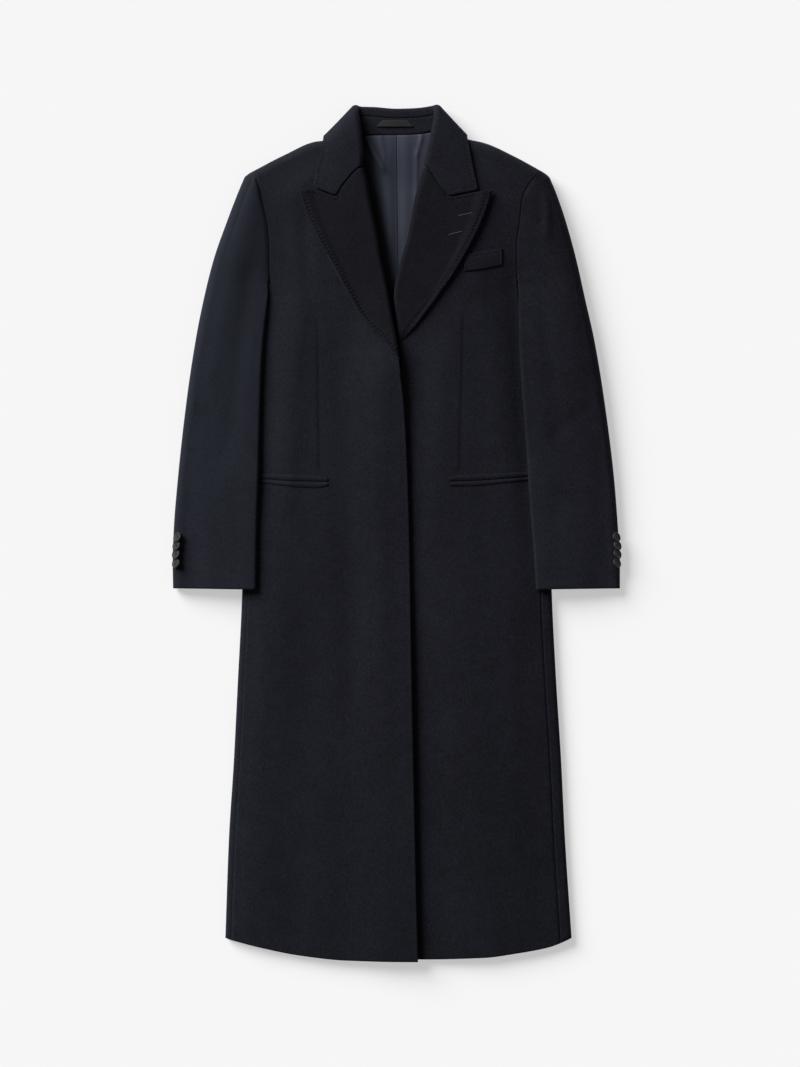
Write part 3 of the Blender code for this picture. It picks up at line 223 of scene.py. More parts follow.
# (x and y at one end, x and y at the other, half width, height) of each soft fold in the body's face.
BODY_FOLDS = [
    (-0.1500, 0.2700, -0.1620, 0.0500, 0.020, 0.0014),
    (-0.0850, 0.2500, -0.0600, -0.2500, 0.022, -0.0012),
    (-0.1330, 0.4500, -0.1240, 0.3100, 0.012, -0.0010),
    (-0.0300, 0.2100, -0.0250, -0.1500, 0.018, 0.0007),
    (-0.1900, -0.1200, -0.2150, -0.5600, 0.022, 0.0010),
    (-0.1250, -0.1500, -0.1500, -0.5800, 0.026, -0.0010),
    (-0.0550, -0.3000, -0.0600, -0.6000, 0.024, 0.0009),
    (0.0620, 0.2300, 0.0560, 0.0000, 0.016, 0.0009),
    (0.1200, 0.2600, 0.1250, 0.1100, 0.018, -0.0009),
    (0.1050, -0.1000, 0.1250, -0.5800, 0.028, 0.0011),
    (0.0650, -0.2500, 0.0700, -0.6000, 0.018, -0.0008),
    (0.1850, -0.1600, 0.2050, -0.5700, 0.022, -0.0009),
    (-0.1500, 0.4900, -0.1100, 0.5350, 0.014, 0.0007),
    (0.1650, 0.4700, 0.1350, 0.5200, 0.014, -0.0007),
]


def folds(table, x, y):
    """Soft ridges and troughs along straight lines, each fading out past its ends."""
    total = np.zeros(np.broadcast(x, y).shape)
    for x0, y0, x1, y1, width, height in table:  # one row for each fold
        length = np.hypot(x1 - x0, y1 - y0)
        along = ((x - x0) * (x1 - x0) + (y - y0) * (y1 - y0)) / length
        across = ((x - x0) * (y1 - y0) - (y - y0) * (x1 - x0)) / length
        past = np.maximum(np.maximum(-along, along - length), 0)
        fade = (past / (FOLD_FADE * width)) ** 2
        total = total + height * FOLD_DEPTH * np.exp(-((across / width) ** 2) - fade)
    return total


def edge_x(which, y):
    """The body's outer edge: its side fold below the armhole, and the armhole above it."""
    return np.where(np.asarray(y) < UNDERARM_Y, side[which](y), armhole[which](y))


def body_height(x, y):
    """The upper face of the closed coat, before its fronts lap."""
    x, y = np.asarray(x, float), np.asarray(y, float)
    from_right = x - edge_x("right", y)
    from_left = edge_x("left", y) - x
    edge, middle = np.moveaxis(HEIGHTS(y), -1, 0)
    inward = smooth(0, HEIGHT_SPREAD, from_right) * smooth(0, HEIGHT_SPREAD, from_left)
    height = edge + (middle - edge) * inward
    pressed = bump(*PRESS_AT, sleeve_inside["left"](y) - x) * smooth(*PRESS_ENDS, y)
    height = height - SLEEVE_PRESS * pressed * smooth(UNDERARM_Y + PRESS_FADE, UNDERARM_Y, y)
    radius = edge / 2
    nearest = np.minimum(from_right, from_left)
    height = height + folds(BODY_FOLDS, x, y) * smooth(*FOLD_MARGIN, nearest)
    round_off = np.sqrt(np.clip(1 - (1 - np.clip(nearest / radius, 0, 1)) ** 2, 0, 1))
    rounded = radius + (height - radius) * round_off
    return height + (rounded - height) * smooth(UNDERARM_Y, UNDERARM_Y - EDGE_TURN, y)


# (y, how far the right front's edge stands up, how far the left front sinks beside it)
LAP = Curve([(-0.6250, 0.0078, 0.0040), (-0.4000, 0.0074, 0.0042), (-0.2400, 0.0074, 0.0042),
             (0.0000, 0.0040, 0.0040), (0.1500, 0.0064, 0.0042), (0.2380, 0.0124, 0.0052),
             (0.2900, 0.0050, 0.0040), (0.3600, 0.0000, 0.0000)])
LAP_SPREAD = {"right": (-0.075, -0.010), "left": (0.085, 0.020)}  # x where it starts and where it is full

# (height, y at the start, y at the end) of each rise of the back's floor side towards the neck.
BACK_RISES = [(0.0042, 0.528, 0.550), (0.0035, 0.552, 0.578)]
BACK_RISE_ENDS = (0.120, 0.098)  # from the middle to where they start, and to where they are full


def lap_height(which, x, y):
    """The upper face of one front: the right one lies over the left along the middle."""
    stand, sink = np.moveaxis(LAP(np.asarray(y, float)), -1, 0)
    lap = stand if which == "right" else -sink
    return body_height(x, y) + smooth(*LAP_SPREAD[which], x) * lap


def back_height(x, y):
    """The back's outer face: on the floor, and over the collar's leaf near the neck."""
    rise = sum(height * smooth(start, end, y) for height, start, end in BACK_RISES)
    return smooth(*BACK_RISE_ENDS, np.abs(x)) * rise


# ---------------------------------------------------------------- cloth shells

RIM_ANGLES = np.radians([45, 90, 135])  # round an edge, from the outer face to the inner one
NO_STITCH = (0.0, 1.0, 0.0)  # a point far from any line of stitching


def point_normals(grid, kept):
    """The outer face's direction at each point, from the kept squares round it."""
    facets = unit(np.cross(grid[1:, 1:] - grid[:-1, :-1], grid[1:, :-1] - grid[:-1, 1:]))
    padded = np.pad(facets * kept[..., None], ((1, 1), (1, 1), (0, 0)))
    return unit(padded[:-1, :-1] + padded[1:, :-1] + padded[:-1, 1:] + padded[1:, 1:])


def add_mesh(name, points, faces, finish, seams=None):
    mesh = bpy.data.meshes.new(name)
    mesh.from_pydata([tuple(point) for point in points], [], [tuple(face) for face in faces])
    mesh.validate()
    mesh.materials.append(FINISHES[finish].material)
    mesh.shade_smooth()
    if seams is not None:
        mesh.attributes.new("stitching", "FLOAT_VECTOR", "POINT").data.foreach_set("vector", seams.ravel())
    piece = bpy.data.objects.new(name, mesh)
    bpy.context.scene.collection.objects.link(piece)
    return piece


def rim_of(quads, outer, normals):
    """The edges that only one square has, and each point's direction away from the cloth."""
    edges = np.concatenate([quads[:, [i, (i + 1) % 4]] for i in range(4)])
    code = edges[:, 0] * len(outer) + edges[:, 1]
    back_code = edges[:, 1] * len(outer) + edges[:, 0]
    rim = edges[~np.isin(back_code, code)]
    away = np.zeros_like(outer)
    for end in (0, 1):
        along = unit(outer[rim[:, 1]] - outer[rim[:, 0]])
        np.add.at(away, rim[:, end], np.cross(along, normals[rim[:, end]]))
    return rim, unit(away)


def shell(name, grid, thickness, finish, outward=1, keep=None, bulge=SEAM_ROUND, paths=()):
    """A closed shell of cloth. grid holds the outer face's points in rows and columns, and keep says
    which of its squares there are. outward is 1 if the outer face looks up at the middle square and
    -1 if it looks down. bulge is how far the edge is rounded, in one number or a grid of them. paths are
    lines of stitching, each with the distance at which the stitches run beside it and their depth."""
    grid = np.asarray(grid, float)
    rows, columns = grid.shape[:2]
    kept = np.ones((rows - 1, columns - 1), bool)
    if keep:
        kept = np.array([[keep(r, c) for c in range(columns - 1)] for r in range(rows - 1)])
    normals = point_normals(grid, kept)
    number = np.arange(rows * columns).reshape(rows, columns)
    quads = np.stack([number[:-1, :-1], number[:-1, 1:], number[1:, 1:], number[1:, :-1]], -1)[kept]
    if normals[rows // 2, columns // 2, 2] * outward < 0:
        quads, normals = quads[:, ::-1], -normals
    used, quads = np.unique(quads, return_inverse=True)
    quads = quads.reshape(-1, 4)
    outer, normals = grid.reshape(-1, 3)[used], normals.reshape(-1, 3)[used]
    rim, away = rim_of(quads, outer, normals)
    on_rim = np.unique(rim)
    middle = outer - normals * thickness / 2
    bulge = np.broadcast_to(bulge, grid.shape[:2]).reshape(-1, 1)[used][on_rim]
    middle[on_rim] -= away[on_rim] * bulge
    layers = [middle + normals * thickness / 2, middle - normals * thickness / 2]
    count = len(outer)
    place = np.zeros(count, int)
    place[on_rim] = np.arange(len(on_rim))
    facing, outwards = normals[on_rim], away[on_rim]
    ring_points = [
        middle[on_rim] + facing * np.cos(angle) * thickness / 2 + outwards * np.sin(angle) * bulge
        for angle in RIM_ANGLES
    ]
    faces = [quads, quads[:, ::-1] + count]
    start, end = rim.T
    levels = [(start, end)]
    for ring in range(len(RIM_ANGLES)):
        base = 2 * count + ring * len(on_rim)
        levels.append((base + place[start], base + place[end]))
    levels.append((start + count, end + count))
    for (a, b), (c, d) in zip(levels, levels[1:]):
        faces.append(np.stack([b, a, c, d], -1))
    points = np.concatenate(layers + ring_points)
    points[:, 2] = np.maximum(points[:, 2], 0)  # nothing reaches into the floor
    stitching = None
    if paths:
        beside = stitching_beside(outer, paths)
        inner = np.tile(NO_STITCH, (count, 1))
        stitching = np.concatenate([beside, inner] + [beside[on_rim]] * len(RIM_ANGLES))
    return add_mesh(name, points, np.concatenate(faces), finish, stitching)


def stitching_beside(points, paths):
    """(distance along the nearest line of stitching, distance inside it, its depth) of each point."""
    beside = np.tile(NO_STITCH, (len(points), 1))
    for path, inset, depth in paths:
        path = np.asarray(path, float)
        nearest, run = np.tile(NO_STITCH, (len(points), 1)), 0
        for start, end in zip(path, path[1:]):
            step = end - start
            length = max(np.linalg.norm(step), 1e-6)
            share = np.clip((points - start) @ step / length**2, 0, 1)
            distance = np.linalg.norm(points - start - share[:, None] * step, axis=1)
            closer = distance < nearest[:, 1]
            nearest[closer, 0] = run + share[closer] * length
            nearest[closer, 1] = distance[closer]
            run += length
        nearest[:, 1] -= inset
        nearest[:, 2] = depth
        closer = np.abs(nearest[:, 1]) < np.abs(beside[:, 1])
        beside[closer] = nearest[closer]
    return beside


def drawn_in(line, neighbour, distance=SEAM_GAP):
    """An edge's points, each moved a little towards its neighbour."""
    return line + unit(neighbour - line) * distance


def between(table, step):
    """Row numbers with fractions, so close that no column of the table moves further than step."""
    gaps = np.abs(np.diff(np.array(table), axis=0)).max(axis=1)
    counts = np.maximum(1, np.ceil(gaps / step)).astype(int)
    parts = [row + np.arange(count) / count for row, count in enumerate(counts)]
    return np.concatenate(parts + [[len(gaps)]])


def read(table, at):
    """The table's columns at fractional row numbers."""
    table = np.array(table)
    return [np.interp(at, np.arange(len(table)), column) for column in table.T]


def columns_through(marks, step):
    """Each row's shares from 0 to 1, about step apart and through that row's marks."""
    usual = np.median(marks, axis=0)
    pieces = []
    for i, gap in enumerate(np.diff(usual)):
        part = np.arange(max(1, round(gap / step))) / max(1, round(gap / step))
        pieces.append(part_way(marks[:, i, None], marks[:, i + 1, None], part))
    return np.concatenate(pieces + [marks[:, -1:]], axis=1)


# ---------------------------------------------------------------- fronts

# (y at the outer edge, y at the front edge) of each row of a front, from the hem up.
FRONT_ROWS = [
    (-0.5909, -0.6246), (-0.5500, -0.5700), (-0.4500, -0.4500), (-0.3300, -0.3300),
    (-0.2100, -0.2100), (-0.0950, -0.0950), (0.0150, 0.0150), (0.0900, 0.0900),
    (0.1500, 0.1500), (0.1900, 0.1850), (0.2200, 0.2150), (0.2440, 0.2390),
    (0.2580, 0.2440), (0.2700, 0.2500), (0.2950, 0.2790), (0.3200, 0.3100),
    (UNDERARM_Y, 0.3450), (0.3720, 0.3800), (0.4000, 0.4150), (0.4300, 0.4500),
    (0.4600, 0.4850), (0.4850, 0.5150), (0.5010, 0.5340), (0.5155, 0.5680),
]
HEM_ROWS = 3  # rows over which the hem's curve dies out
EDGE_TOP = 0.2440  # where a front's buttoning edge ends
GORGE_Y = 0.5340  # where a lapel ends and the collar begins
ROLL_INSET = (0.0002, 0.0060)  # from a lapel's rolled edge to the front inside it, at its ends
ROLL_START = {"right": (0.2540, 0.2900), "left": (0.2800, 0.3200)}  # where each front runs in under it
FRONT_SHOULDER_ARC = [*range(8, 102, 8), 102]  # degrees round the shoulder fold, to its seam
ARMHOLE_SKEW = {"right": 0, "left": 0.386}  # how far each armhole seam runs aslant over the shoulder
SKEW_FADE = 0.18  # share of the shoulder over which it straightens
SHOULDER_BLEND = 0.040  # how far the shoulder fold's height reaches into the front

dart = {  # (y, x)
    "right": Curve([(0.3231, -0.1172), (0.2749, -0.1143), (0.1362, -0.1129), (0.0900, -0.1121)]),
    "left": Curve([(0.3246, 0.0967), (0.2530, 0.0959), (0.1362, 0.0930), (0.0880, 0.0923)]),
}
fly = Curve([(0.1961, -0.0413), (0.0866, -0.0384), (-0.0799, -0.0362), (-0.2288, -0.0340)])
STITCH_INSET = 0.0060  # from a turned edge to the stitches beside it
# How deep each row of stitches draws the cloth in, beside the lapels' edges.
STITCH_DEPTH = {"front edge": 0.2, "fly": 0.25, "lapel": 1, "lapel top": 0.7, "collar": 0.6, "welt": 0.6}
EDGE_STITCH_ROWS = 12  # rows of a front, from the hem up, along which its edge is stitched
FRONT_EDGE_ROUND = 0.0008  # how far a front's free edges bulge
EDGE_LIP = 0.0024  # from a front's edge to the last column inside it
SEAM_LIP = 0.0013  # each side of a seam, to the columns that shape its dip
SEAM_DIP = 0.0005
SEAM_DIP_WIDTH = 0.0011
DART_TUCK = 0.0007  # how much lower the cloth lies on the side that a dart is pressed to
DART_TUCK_WIDTH = 0.014
FRONT_LINES = {"dart": 0.72, "fly": 0.90}  # share of a front's width that each line stays inside
FRONT_WIDTH = 0.22  # a front's usual width, for the spacing of its columns
FLY_POINTS = 120


def inner_edge_x(which, y):
    """A front's inner edge: the buttoning edge, then inside the lapel's roll, then the neck."""
    inset = np.interp(smooth(*ROLL_START[which], y), [0, 1], ROLL_INSET)
    rolled = roll[which](y) + SIGN[which] * inset * (y > EDGE_TOP)
    lower = np.where(y <= EDGE_TOP, front_edge[which](y), rolled)
    return np.where(y > GORGE_Y, neck_edge[which](y), lower)


def seam_inset(which, y):
    """How far the side seam lies inside the side fold, which it meets at the underarm."""
    inset = SIDE_SEAM_INSET[which]
    return inset + (UNDERARM_INSET - inset) * smooth(UNDERARM_Y - SEAM_TURN, UNDERARM_Y, y)


def side_seam_x(which, y):
    return side[which](y) - SIGN[which] * seam_inset(which, y)


def seam_angle(which, y):
    """How far round the side fold the side seam lies: 0 is the fold's top."""
    radius = HEIGHTS(y)[..., 0] / 2
    return np.arcsin(np.clip(1 - seam_inset(which, y) / radius, 0, 1))


def outer_edge_x(which, y):
    return np.where(y <= UNDERARM_Y, side_seam_x(which, y), armhole[which](y))


def shoulder_point(which, share, degrees):
    """Points round the shoulder fold: 0 degrees is its top and 180 its underside. The shares run
    along it from the sleeve to the neck."""
    start_x, end_x = SLEEVE_POINT_X[which], NECK_POINT_X[which]
    share = np.asarray(share, float)
    x = start_x + (end_x - start_x) * share
    y = shoulder[which](x)
    before, after = np.clip([x - 0.004, x + 0.004], *sorted((start_x, end_x)))
    slope = (shoulder[which](after) - shoulder[which](before)) / (after - before)
    length = np.hypot(slope, 1)
    angle = np.radians(degrees)
    reach = SHOULDER_RADIUS * (np.sin(angle) - 1)
    skew = np.interp(share, [0, SKEW_FADE], [ARMHOLE_SKEW[which] * SIGN[which], 0])
    low = back_height(x, y - SHOULDER_RADIUS)
    radius = SHOULDER_RADIUS - low / 2
    plan = [x + (skew - slope) / length * reach, y + (1 + skew * slope) / length * reach]
    return np.stack([*plan, low + radius * (1 + np.cos(angle))], -1)


def front_marks(which, outer_y, inner_y):
    """Each row's shares of its width through the dart, the fly's stitching and the edge's."""
    start, end = outer_edge_x(which, outer_y), inner_edge_x(which, inner_y)
    width = np.abs(end - start)
    lines = [(dart[which], FRONT_LINES["dart"])]
    if which == "right":
        lines.append((fly, FRONT_LINES["fly"]))
    marks = [np.zeros_like(width)]
    for line, most in lines:
        share = (line(outer_y) - start) / (end - start)
        share = (line(part_way(outer_y, inner_y, share)) - start) / (end - start)
        share = np.minimum(share, most)
        marks += [share - SEAM_LIP / width, share, share + SEAM_LIP / width]
    marks += [1 - STITCH_INSET / width, 1 - EDGE_LIP / width, np.ones_like(width)]
    return np.stack(marks, -1)


def dart_dip(which, x, y):
    """How deep the cloth dips along a front's dart, and lies lower on the side it is pressed to."""
    low, high = dart[which].at[[0, -1]]
    on_dart = smooth(low - 0.004, low + 0.006, y) * smooth(high + 0.004, high - 0.02, y)
    off = x - dart[which](y)
    seam = SEAM_DIP * bump(0, SEAM_DIP_WIDTH, off) * on_dart
    return seam, DART_TUCK * smooth(-0.0006, 0.0008, off) * bump(0, DART_TUCK_WIDTH, off) * on_dart


def front(which):
    """The points of a front's outer face, and the number of each row below the shoulder's fold."""
    at = between(FRONT_ROWS, STEP)
    outer_y, inner_y = read(FRONT_ROWS, at)
    share = columns_through(front_marks(which, outer_y, inner_y), STEP / FRONT_WIDTH)
    outer_y, inner_y = outer_y[:, None], inner_y[:, None]
    x = part_way(outer_edge_x(which, outer_y), inner_edge_x(which, inner_y), share)
    y = part_way(outer_y, inner_y, share)
    y = y + (hem[which](x[0]) - y[0]) * np.clip(1 - at / HEM_ROWS, 0, 1)[:, None]
    top = shoulder_point(which, share[-1], 0)
    last = np.clip(at - (len(FRONT_ROWS) - 2), 0, 1)[:, None]
    x = x + (top[:, 0] - x[-1]) * last
    y = y + (top[:, 1] - y[-1]) * last
    height = lap_height(which, x, y)
    for dip in dart_dip(which, x, y):
        height = height - dip
    from_top = np.hypot(x - top[:, 0], y - top[:, 1])
    height = height + (2 * SHOULDER_RADIUS - height) * smooth(SHOULDER_BLEND, 0, from_top)
    arcs = [shoulder_point(which, share[-1], degrees) for degrees in FRONT_SHOULDER_ARC]
    return np.concatenate([np.stack([x, y, height], -1), arcs]), at


def build_front(which):
    grid, at = front(which)
    grid[:, 0] = drawn_in(grid[:, 0], grid[:, 1])
    edge = grid[: np.searchsorted(at, EDGE_STITCH_ROWS) + 1, -1]
    paths = [(edge, STITCH_INSET, STITCH_DEPTH["front edge"])]
    if which == "right":
        y = np.linspace(fly.at[-1], fly.at[0], FLY_POINTS)
        row = np.stack([fly(y), y, lap_height(which, fly(y), y)], -1)
        paths.append((row, 0, STITCH_DEPTH["fly"]))
    rounding = np.full(grid.shape[:2], FRONT_EDGE_ROUND)
    rounding[:, 0] = FLAT_SEAM_ROUND
    return shell(f"front_{which}_cloth", grid, WOOL, "wool", bulge=rounding, paths=paths)


# ---------------------------------------------------------------- back

BACK_ROWS = [(outer_y,) for outer_y, inner_y in FRONT_ROWS]
SHOULDER_SHARE = {"right": 0.309, "left": 0.293}  # share of the back's width under each shoulder
FAN_Y = 0.4000  # above this the back's rows rise towards the neck
BACK_SHOULDER_ARC = [168, 155, 143, 130, 118, 106]
HEM_SHORTER = 0.0015  # how much shorter the back is than the fronts
BACK_NECK = Curve([(-0.0800, 0.5790), (-0.0600, 0.5790), (-0.0442, 0.5796), (-0.0019, 0.5804),
                   (0.0185, 0.5806), (0.0379, 0.5820), (0.0507, 0.5850), (0.0650, 0.5860),
                   (0.0800, 0.5790)])
BACK_STEP = 0.0060
UNDER_SHOULDER = np.linspace(0, 1, 22)  # shares of a shoulder's length at the back's columns under it
NECK_COLUMNS = 28
SIDE_FOLD_TURN = np.linspace(0, 1, 14)[1:]  # shares of the turn round a side fold at its columns
FOLD_TO_SEAM = (0.33, 0.67, 1)  # shares of the flat cloth from the fold's end to the side seam
LEAST_FLAT = 0.001  # width of that flat cloth where it is narrowest


def side_fold(which, y):
    """Columns of points round a side fold, from the floor up and over to the side seam."""
    radius = HEIGHTS(y)[:, 0] / 2
    last = seam_angle(which, y)
    columns = []
    for share in SIDE_FOLD_TURN:
        angle = np.pi - (np.pi - last) * share
        x = side[which](y) - SIGN[which] * radius * (1 - np.sin(angle))
        columns.append(np.stack([x, y, radius * (1 + np.cos(angle))], -1))
    seam_x = side_seam_x(which, y)
    flat = np.maximum(seam_inset(which, y) - radius, LEAST_FLAT)
    columns[-1][:, 0] = seam_x + SIGN[which] * flat
    for share in FOLD_TO_SEAM:
        x = seam_x + SIGN[which] * flat * (1 - share)
        columns.append(np.stack([x, y, body_height(x, y)], -1))
    return columns


def back():
    """The back's grid, its rows' numbers, and the numbers of its flat columns and neck columns."""
    at = between(BACK_ROWS, BACK_STEP)
    level = read(BACK_ROWS, at)[0][:, None]
    right_share, left_share = SHOULDER_SHARE["right"], SHOULDER_SHARE["left"]
    under = UNDER_SHOULDER
    neck = np.linspace(right_share, 1 - left_share, NECK_COLUMNS)[1:-1]
    share = np.concatenate([under * right_share, neck, 1 - under[::-1] * left_share])
    right, left = slice(0, len(under)), slice(-len(under), None)
    fold = np.where(level <= UNDERARM_Y, HEIGHTS(level)[..., 0] / 2, 0)
    x = part_way(edge_x("right", level) + fold, edge_x("left", level) - fold, share)
    top = np.stack([x[-1], BACK_NECK(x[-1]), x[-1] * 0], -1)
    top[right] = shoulder_point("right", under, 180)
    top[left] = shoulder_point("left", under, 180)[::-1]
    y = level + (top[:, 1] - level[-1]) * np.clip((level - FAN_Y) / (level[-1] - FAN_Y), 0, 1)
    x = x + (top[:, 0] - x[-1]) * np.clip(at - (len(BACK_ROWS) - 2), 0, 1)[:, None]
    hem_y = np.where(x[0] < 0, hem["right"](x[0]), hem["left"](x[0])) + HEM_SHORTER
    y = y + (hem_y - level[0]) * np.clip(1 - at / HEM_ROWS, 0, 1)[:, None]
    flat = np.stack([x, y, back_height(x, y)], -1)
    arcs = np.repeat(flat[-1:], len(BACK_SHOULDER_ARC), 0)
    for arc, degrees in zip(arcs, BACK_SHOULDER_ARC):
        arc[right] = shoulder_point("right", under, degrees)
        arc[left] = shoulder_point("left", under, degrees)[::-1]
    flat = np.concatenate([flat, arcs])
    turned = {}
    for which, edge in (("right", 0), ("left", -1)):
        columns = side_fold(which, level[:, 0])
        for place, column in enumerate(columns, 1):
            shorter = HEM_SHORTER * (1 - place / len(columns))
            drop = hem[which](column[0, 0]) + shorter - level[0]
            column[:, 1] += drop * np.clip(1 - at / HEM_ROWS, 0, 1)
        turned[which] = [np.concatenate([column, arcs[:, edge]]) for column in columns]
    grid = np.stack(turned["right"][::-1] + list(flat.swapaxes(0, 1)) + turned["left"], 1)
    first = len(turned["right"])
    flat_columns = (first, first + len(share) - 1)
    neck_columns = (first + len(under) - 1, first + len(under) + len(neck))
    return grid, at, flat_columns, neck_columns


def build_back():
    grid, at, flat_columns, neck_columns = back()
    underarm = int(np.searchsorted(at, [row[0] for row in BACK_ROWS].index(UNDERARM_Y)))
    last_row = len(at) - 1

    def keep(row, column):
        if column < flat_columns[0] or column >= flat_columns[1]:
            return row < underarm
        return row < last_row or not neck_columns[0] <= column < neck_columns[1]

    grid[:, 0] = drawn_in(grid[:, 0], grid[:, 1], SEAM_MEETS)
    grid[:, -1] = drawn_in(grid[:, -1], grid[:, -2], SEAM_MEETS)
    return shell("back_cloth", grid, WOOL, "wool", outward=-1, keep=keep, bulge=FLAT_SEAM_ROUND)


# ---------------------------------------------------------------- sleeves

# (y at the outer fold, y at the armhole or the inner fold) of each row, from the shoulder down.
SLEEVE_ROWS = [
    (0.5271, 0.5155), (0.5190, 0.5010), (0.5080, 0.4850), (0.4860, 0.4600), (0.4500, 0.4300),
    (0.4130, 0.4000), (0.3800, 0.3720), (0.3690, SLEEVE_FOLD_Y), (0.3450, 0.3450),
    (0.3200, 0.3200), (0.2900, 0.2900), (0.2500, 0.2500), (0.1900, 0.1900), (0.1200, 0.1200),
    (0.0500, 0.0500), (-0.0200, -0.0200), (-0.0805, -0.0820),
]
SLEEVE_RADIUS = Curve([(-0.0805, 0.0085), (0.1000, 0.0112), (UNDERARM_Y, 0.0140),
                       (0.4500, 0.0140), (0.5271, SHOULDER_RADIUS)])  # (y, radius of the outer fold)
SLEEVE_FOLD = Curve([(0.2400, 0.0042), (0.3200, 0.0030), (0.3655, 0.0010)])  # (y, its inner fold's radius)
SLEEVE_SEAM = -35  # degrees below each fold's outermost line
# (kind, degrees at its flat middle, degrees round its outer and inner folds, which way it looks)
SLEEVE_HALVES = [
    ("top", 90, np.linspace(SLEEVE_SEAM, 90, 14), np.linspace(75, SLEEVE_SEAM, 8), 1),
    ("under", -90, np.linspace(SLEEVE_SEAM, -90, 6), np.linspace(-75, SLEEVE_SEAM, 4), -1),
]
SLEEVE_CROWN = 0.0015
SLEEVE_ROUND = 0.0005  # how far a sleeve's edges bulge
HEAD_MEETS = -0.0006  # from a sleeve's head to the shoulder's seam, past which it reaches
HEAD_ROLL = {"right": 0.0022, "left": 0.0006}  # how far each sleeve head stands above its seam
HEAD_ROLL_WIDTH = 0.0035  # over which it rises from the seam
HEAD_ROLL_FADE = (0.050, 0.010)  # from the seam to where it has sunk again, and to where that starts
HEAD_START = (0.335, 0.400)  # y over which it grows from the underarm up
HEAD_END = (0.522, 0.490)  # y over which it grows from the shoulder down
RESTS = 0.0015  # between a sleeve and the front it lies on
REST_START = (0.395, 0.352)  # y over which a sleeve comes to rest on its front
REST_MARGIN = 0.006  # how far past its inner fold the front can hold it up
OVER_POCKET = 0.0022  # more room where a sleeve crosses a pocket
POCKET_BAND = (0.077, 0.030)  # y of that place, and its half width
BRIDGE = 0.030  # how far out the sleeve's underside slopes down to the floor
BRIDGE_MARGIN = 0.001  # from the body's edge to the top of the slope
BRIDGE_MOST = 0.93  # share of the underside's width that the slope ends within
FLOOR_LEAST = 0.4  # share of the way to the slope's end that lies on the floor, at least
SLEEVE_STEP = 0.0038
TOP_COLUMNS = 34
UNDER_COLUMNS = 24
CUFF_VENT_INSET = 0.0140
CUFF_VENT_TOP = 0.0800
CUFF_VENT_STEP = 0.0007  # how much higher the upper layer of the vent lies

# (x and y at one end, x and y at the other, half width, height) of each soft fold.
SLEEVE_FOLDS = [
    (-0.2350, 0.4300, -0.2700, 0.2300, 0.014, 0.0009),
    (-0.2150, 0.3700, -0.2400, 0.1500, 0.013, -0.0010),
    (-0.2900, 0.1800, -0.2450, 0.1350, 0.011, -0.0008),
    (-0.2200, 0.5050, -0.2290, 0.3500, 0.018, 0.0012),
    (-0.2850, 0.1200, -0.2750, -0.0700, 0.016, 0.0008),
    (-0.2300, 0.0600, -0.2350, -0.0700, 0.014, -0.0006),
    (0.2350, 0.4300, 0.2650, 0.2500, 0.014, 0.0008),
    (0.2230, 0.4950, 0.2200, 0.4450, 0.008, 0.0026),
    (0.2120, 0.3500, 0.2350, 0.1500, 0.013, -0.0010),
    (0.2850, 0.1900, 0.2400, 0.1500, 0.011, -0.0008),
    (0.2800, 0.1100, 0.2750, -0.0700, 0.016, 0.0008),
    (0.2350, 0.0500, 0.2350, -0.0700, 0.014, -0.0006),
]


def curve_normal(curve, sign, y):
    slope = (curve(y + 0.001) - curve(y - 0.001)) / 0.002
    normal = np.array([1, -slope]) / np.hypot(slope, 1)
    return normal * sign


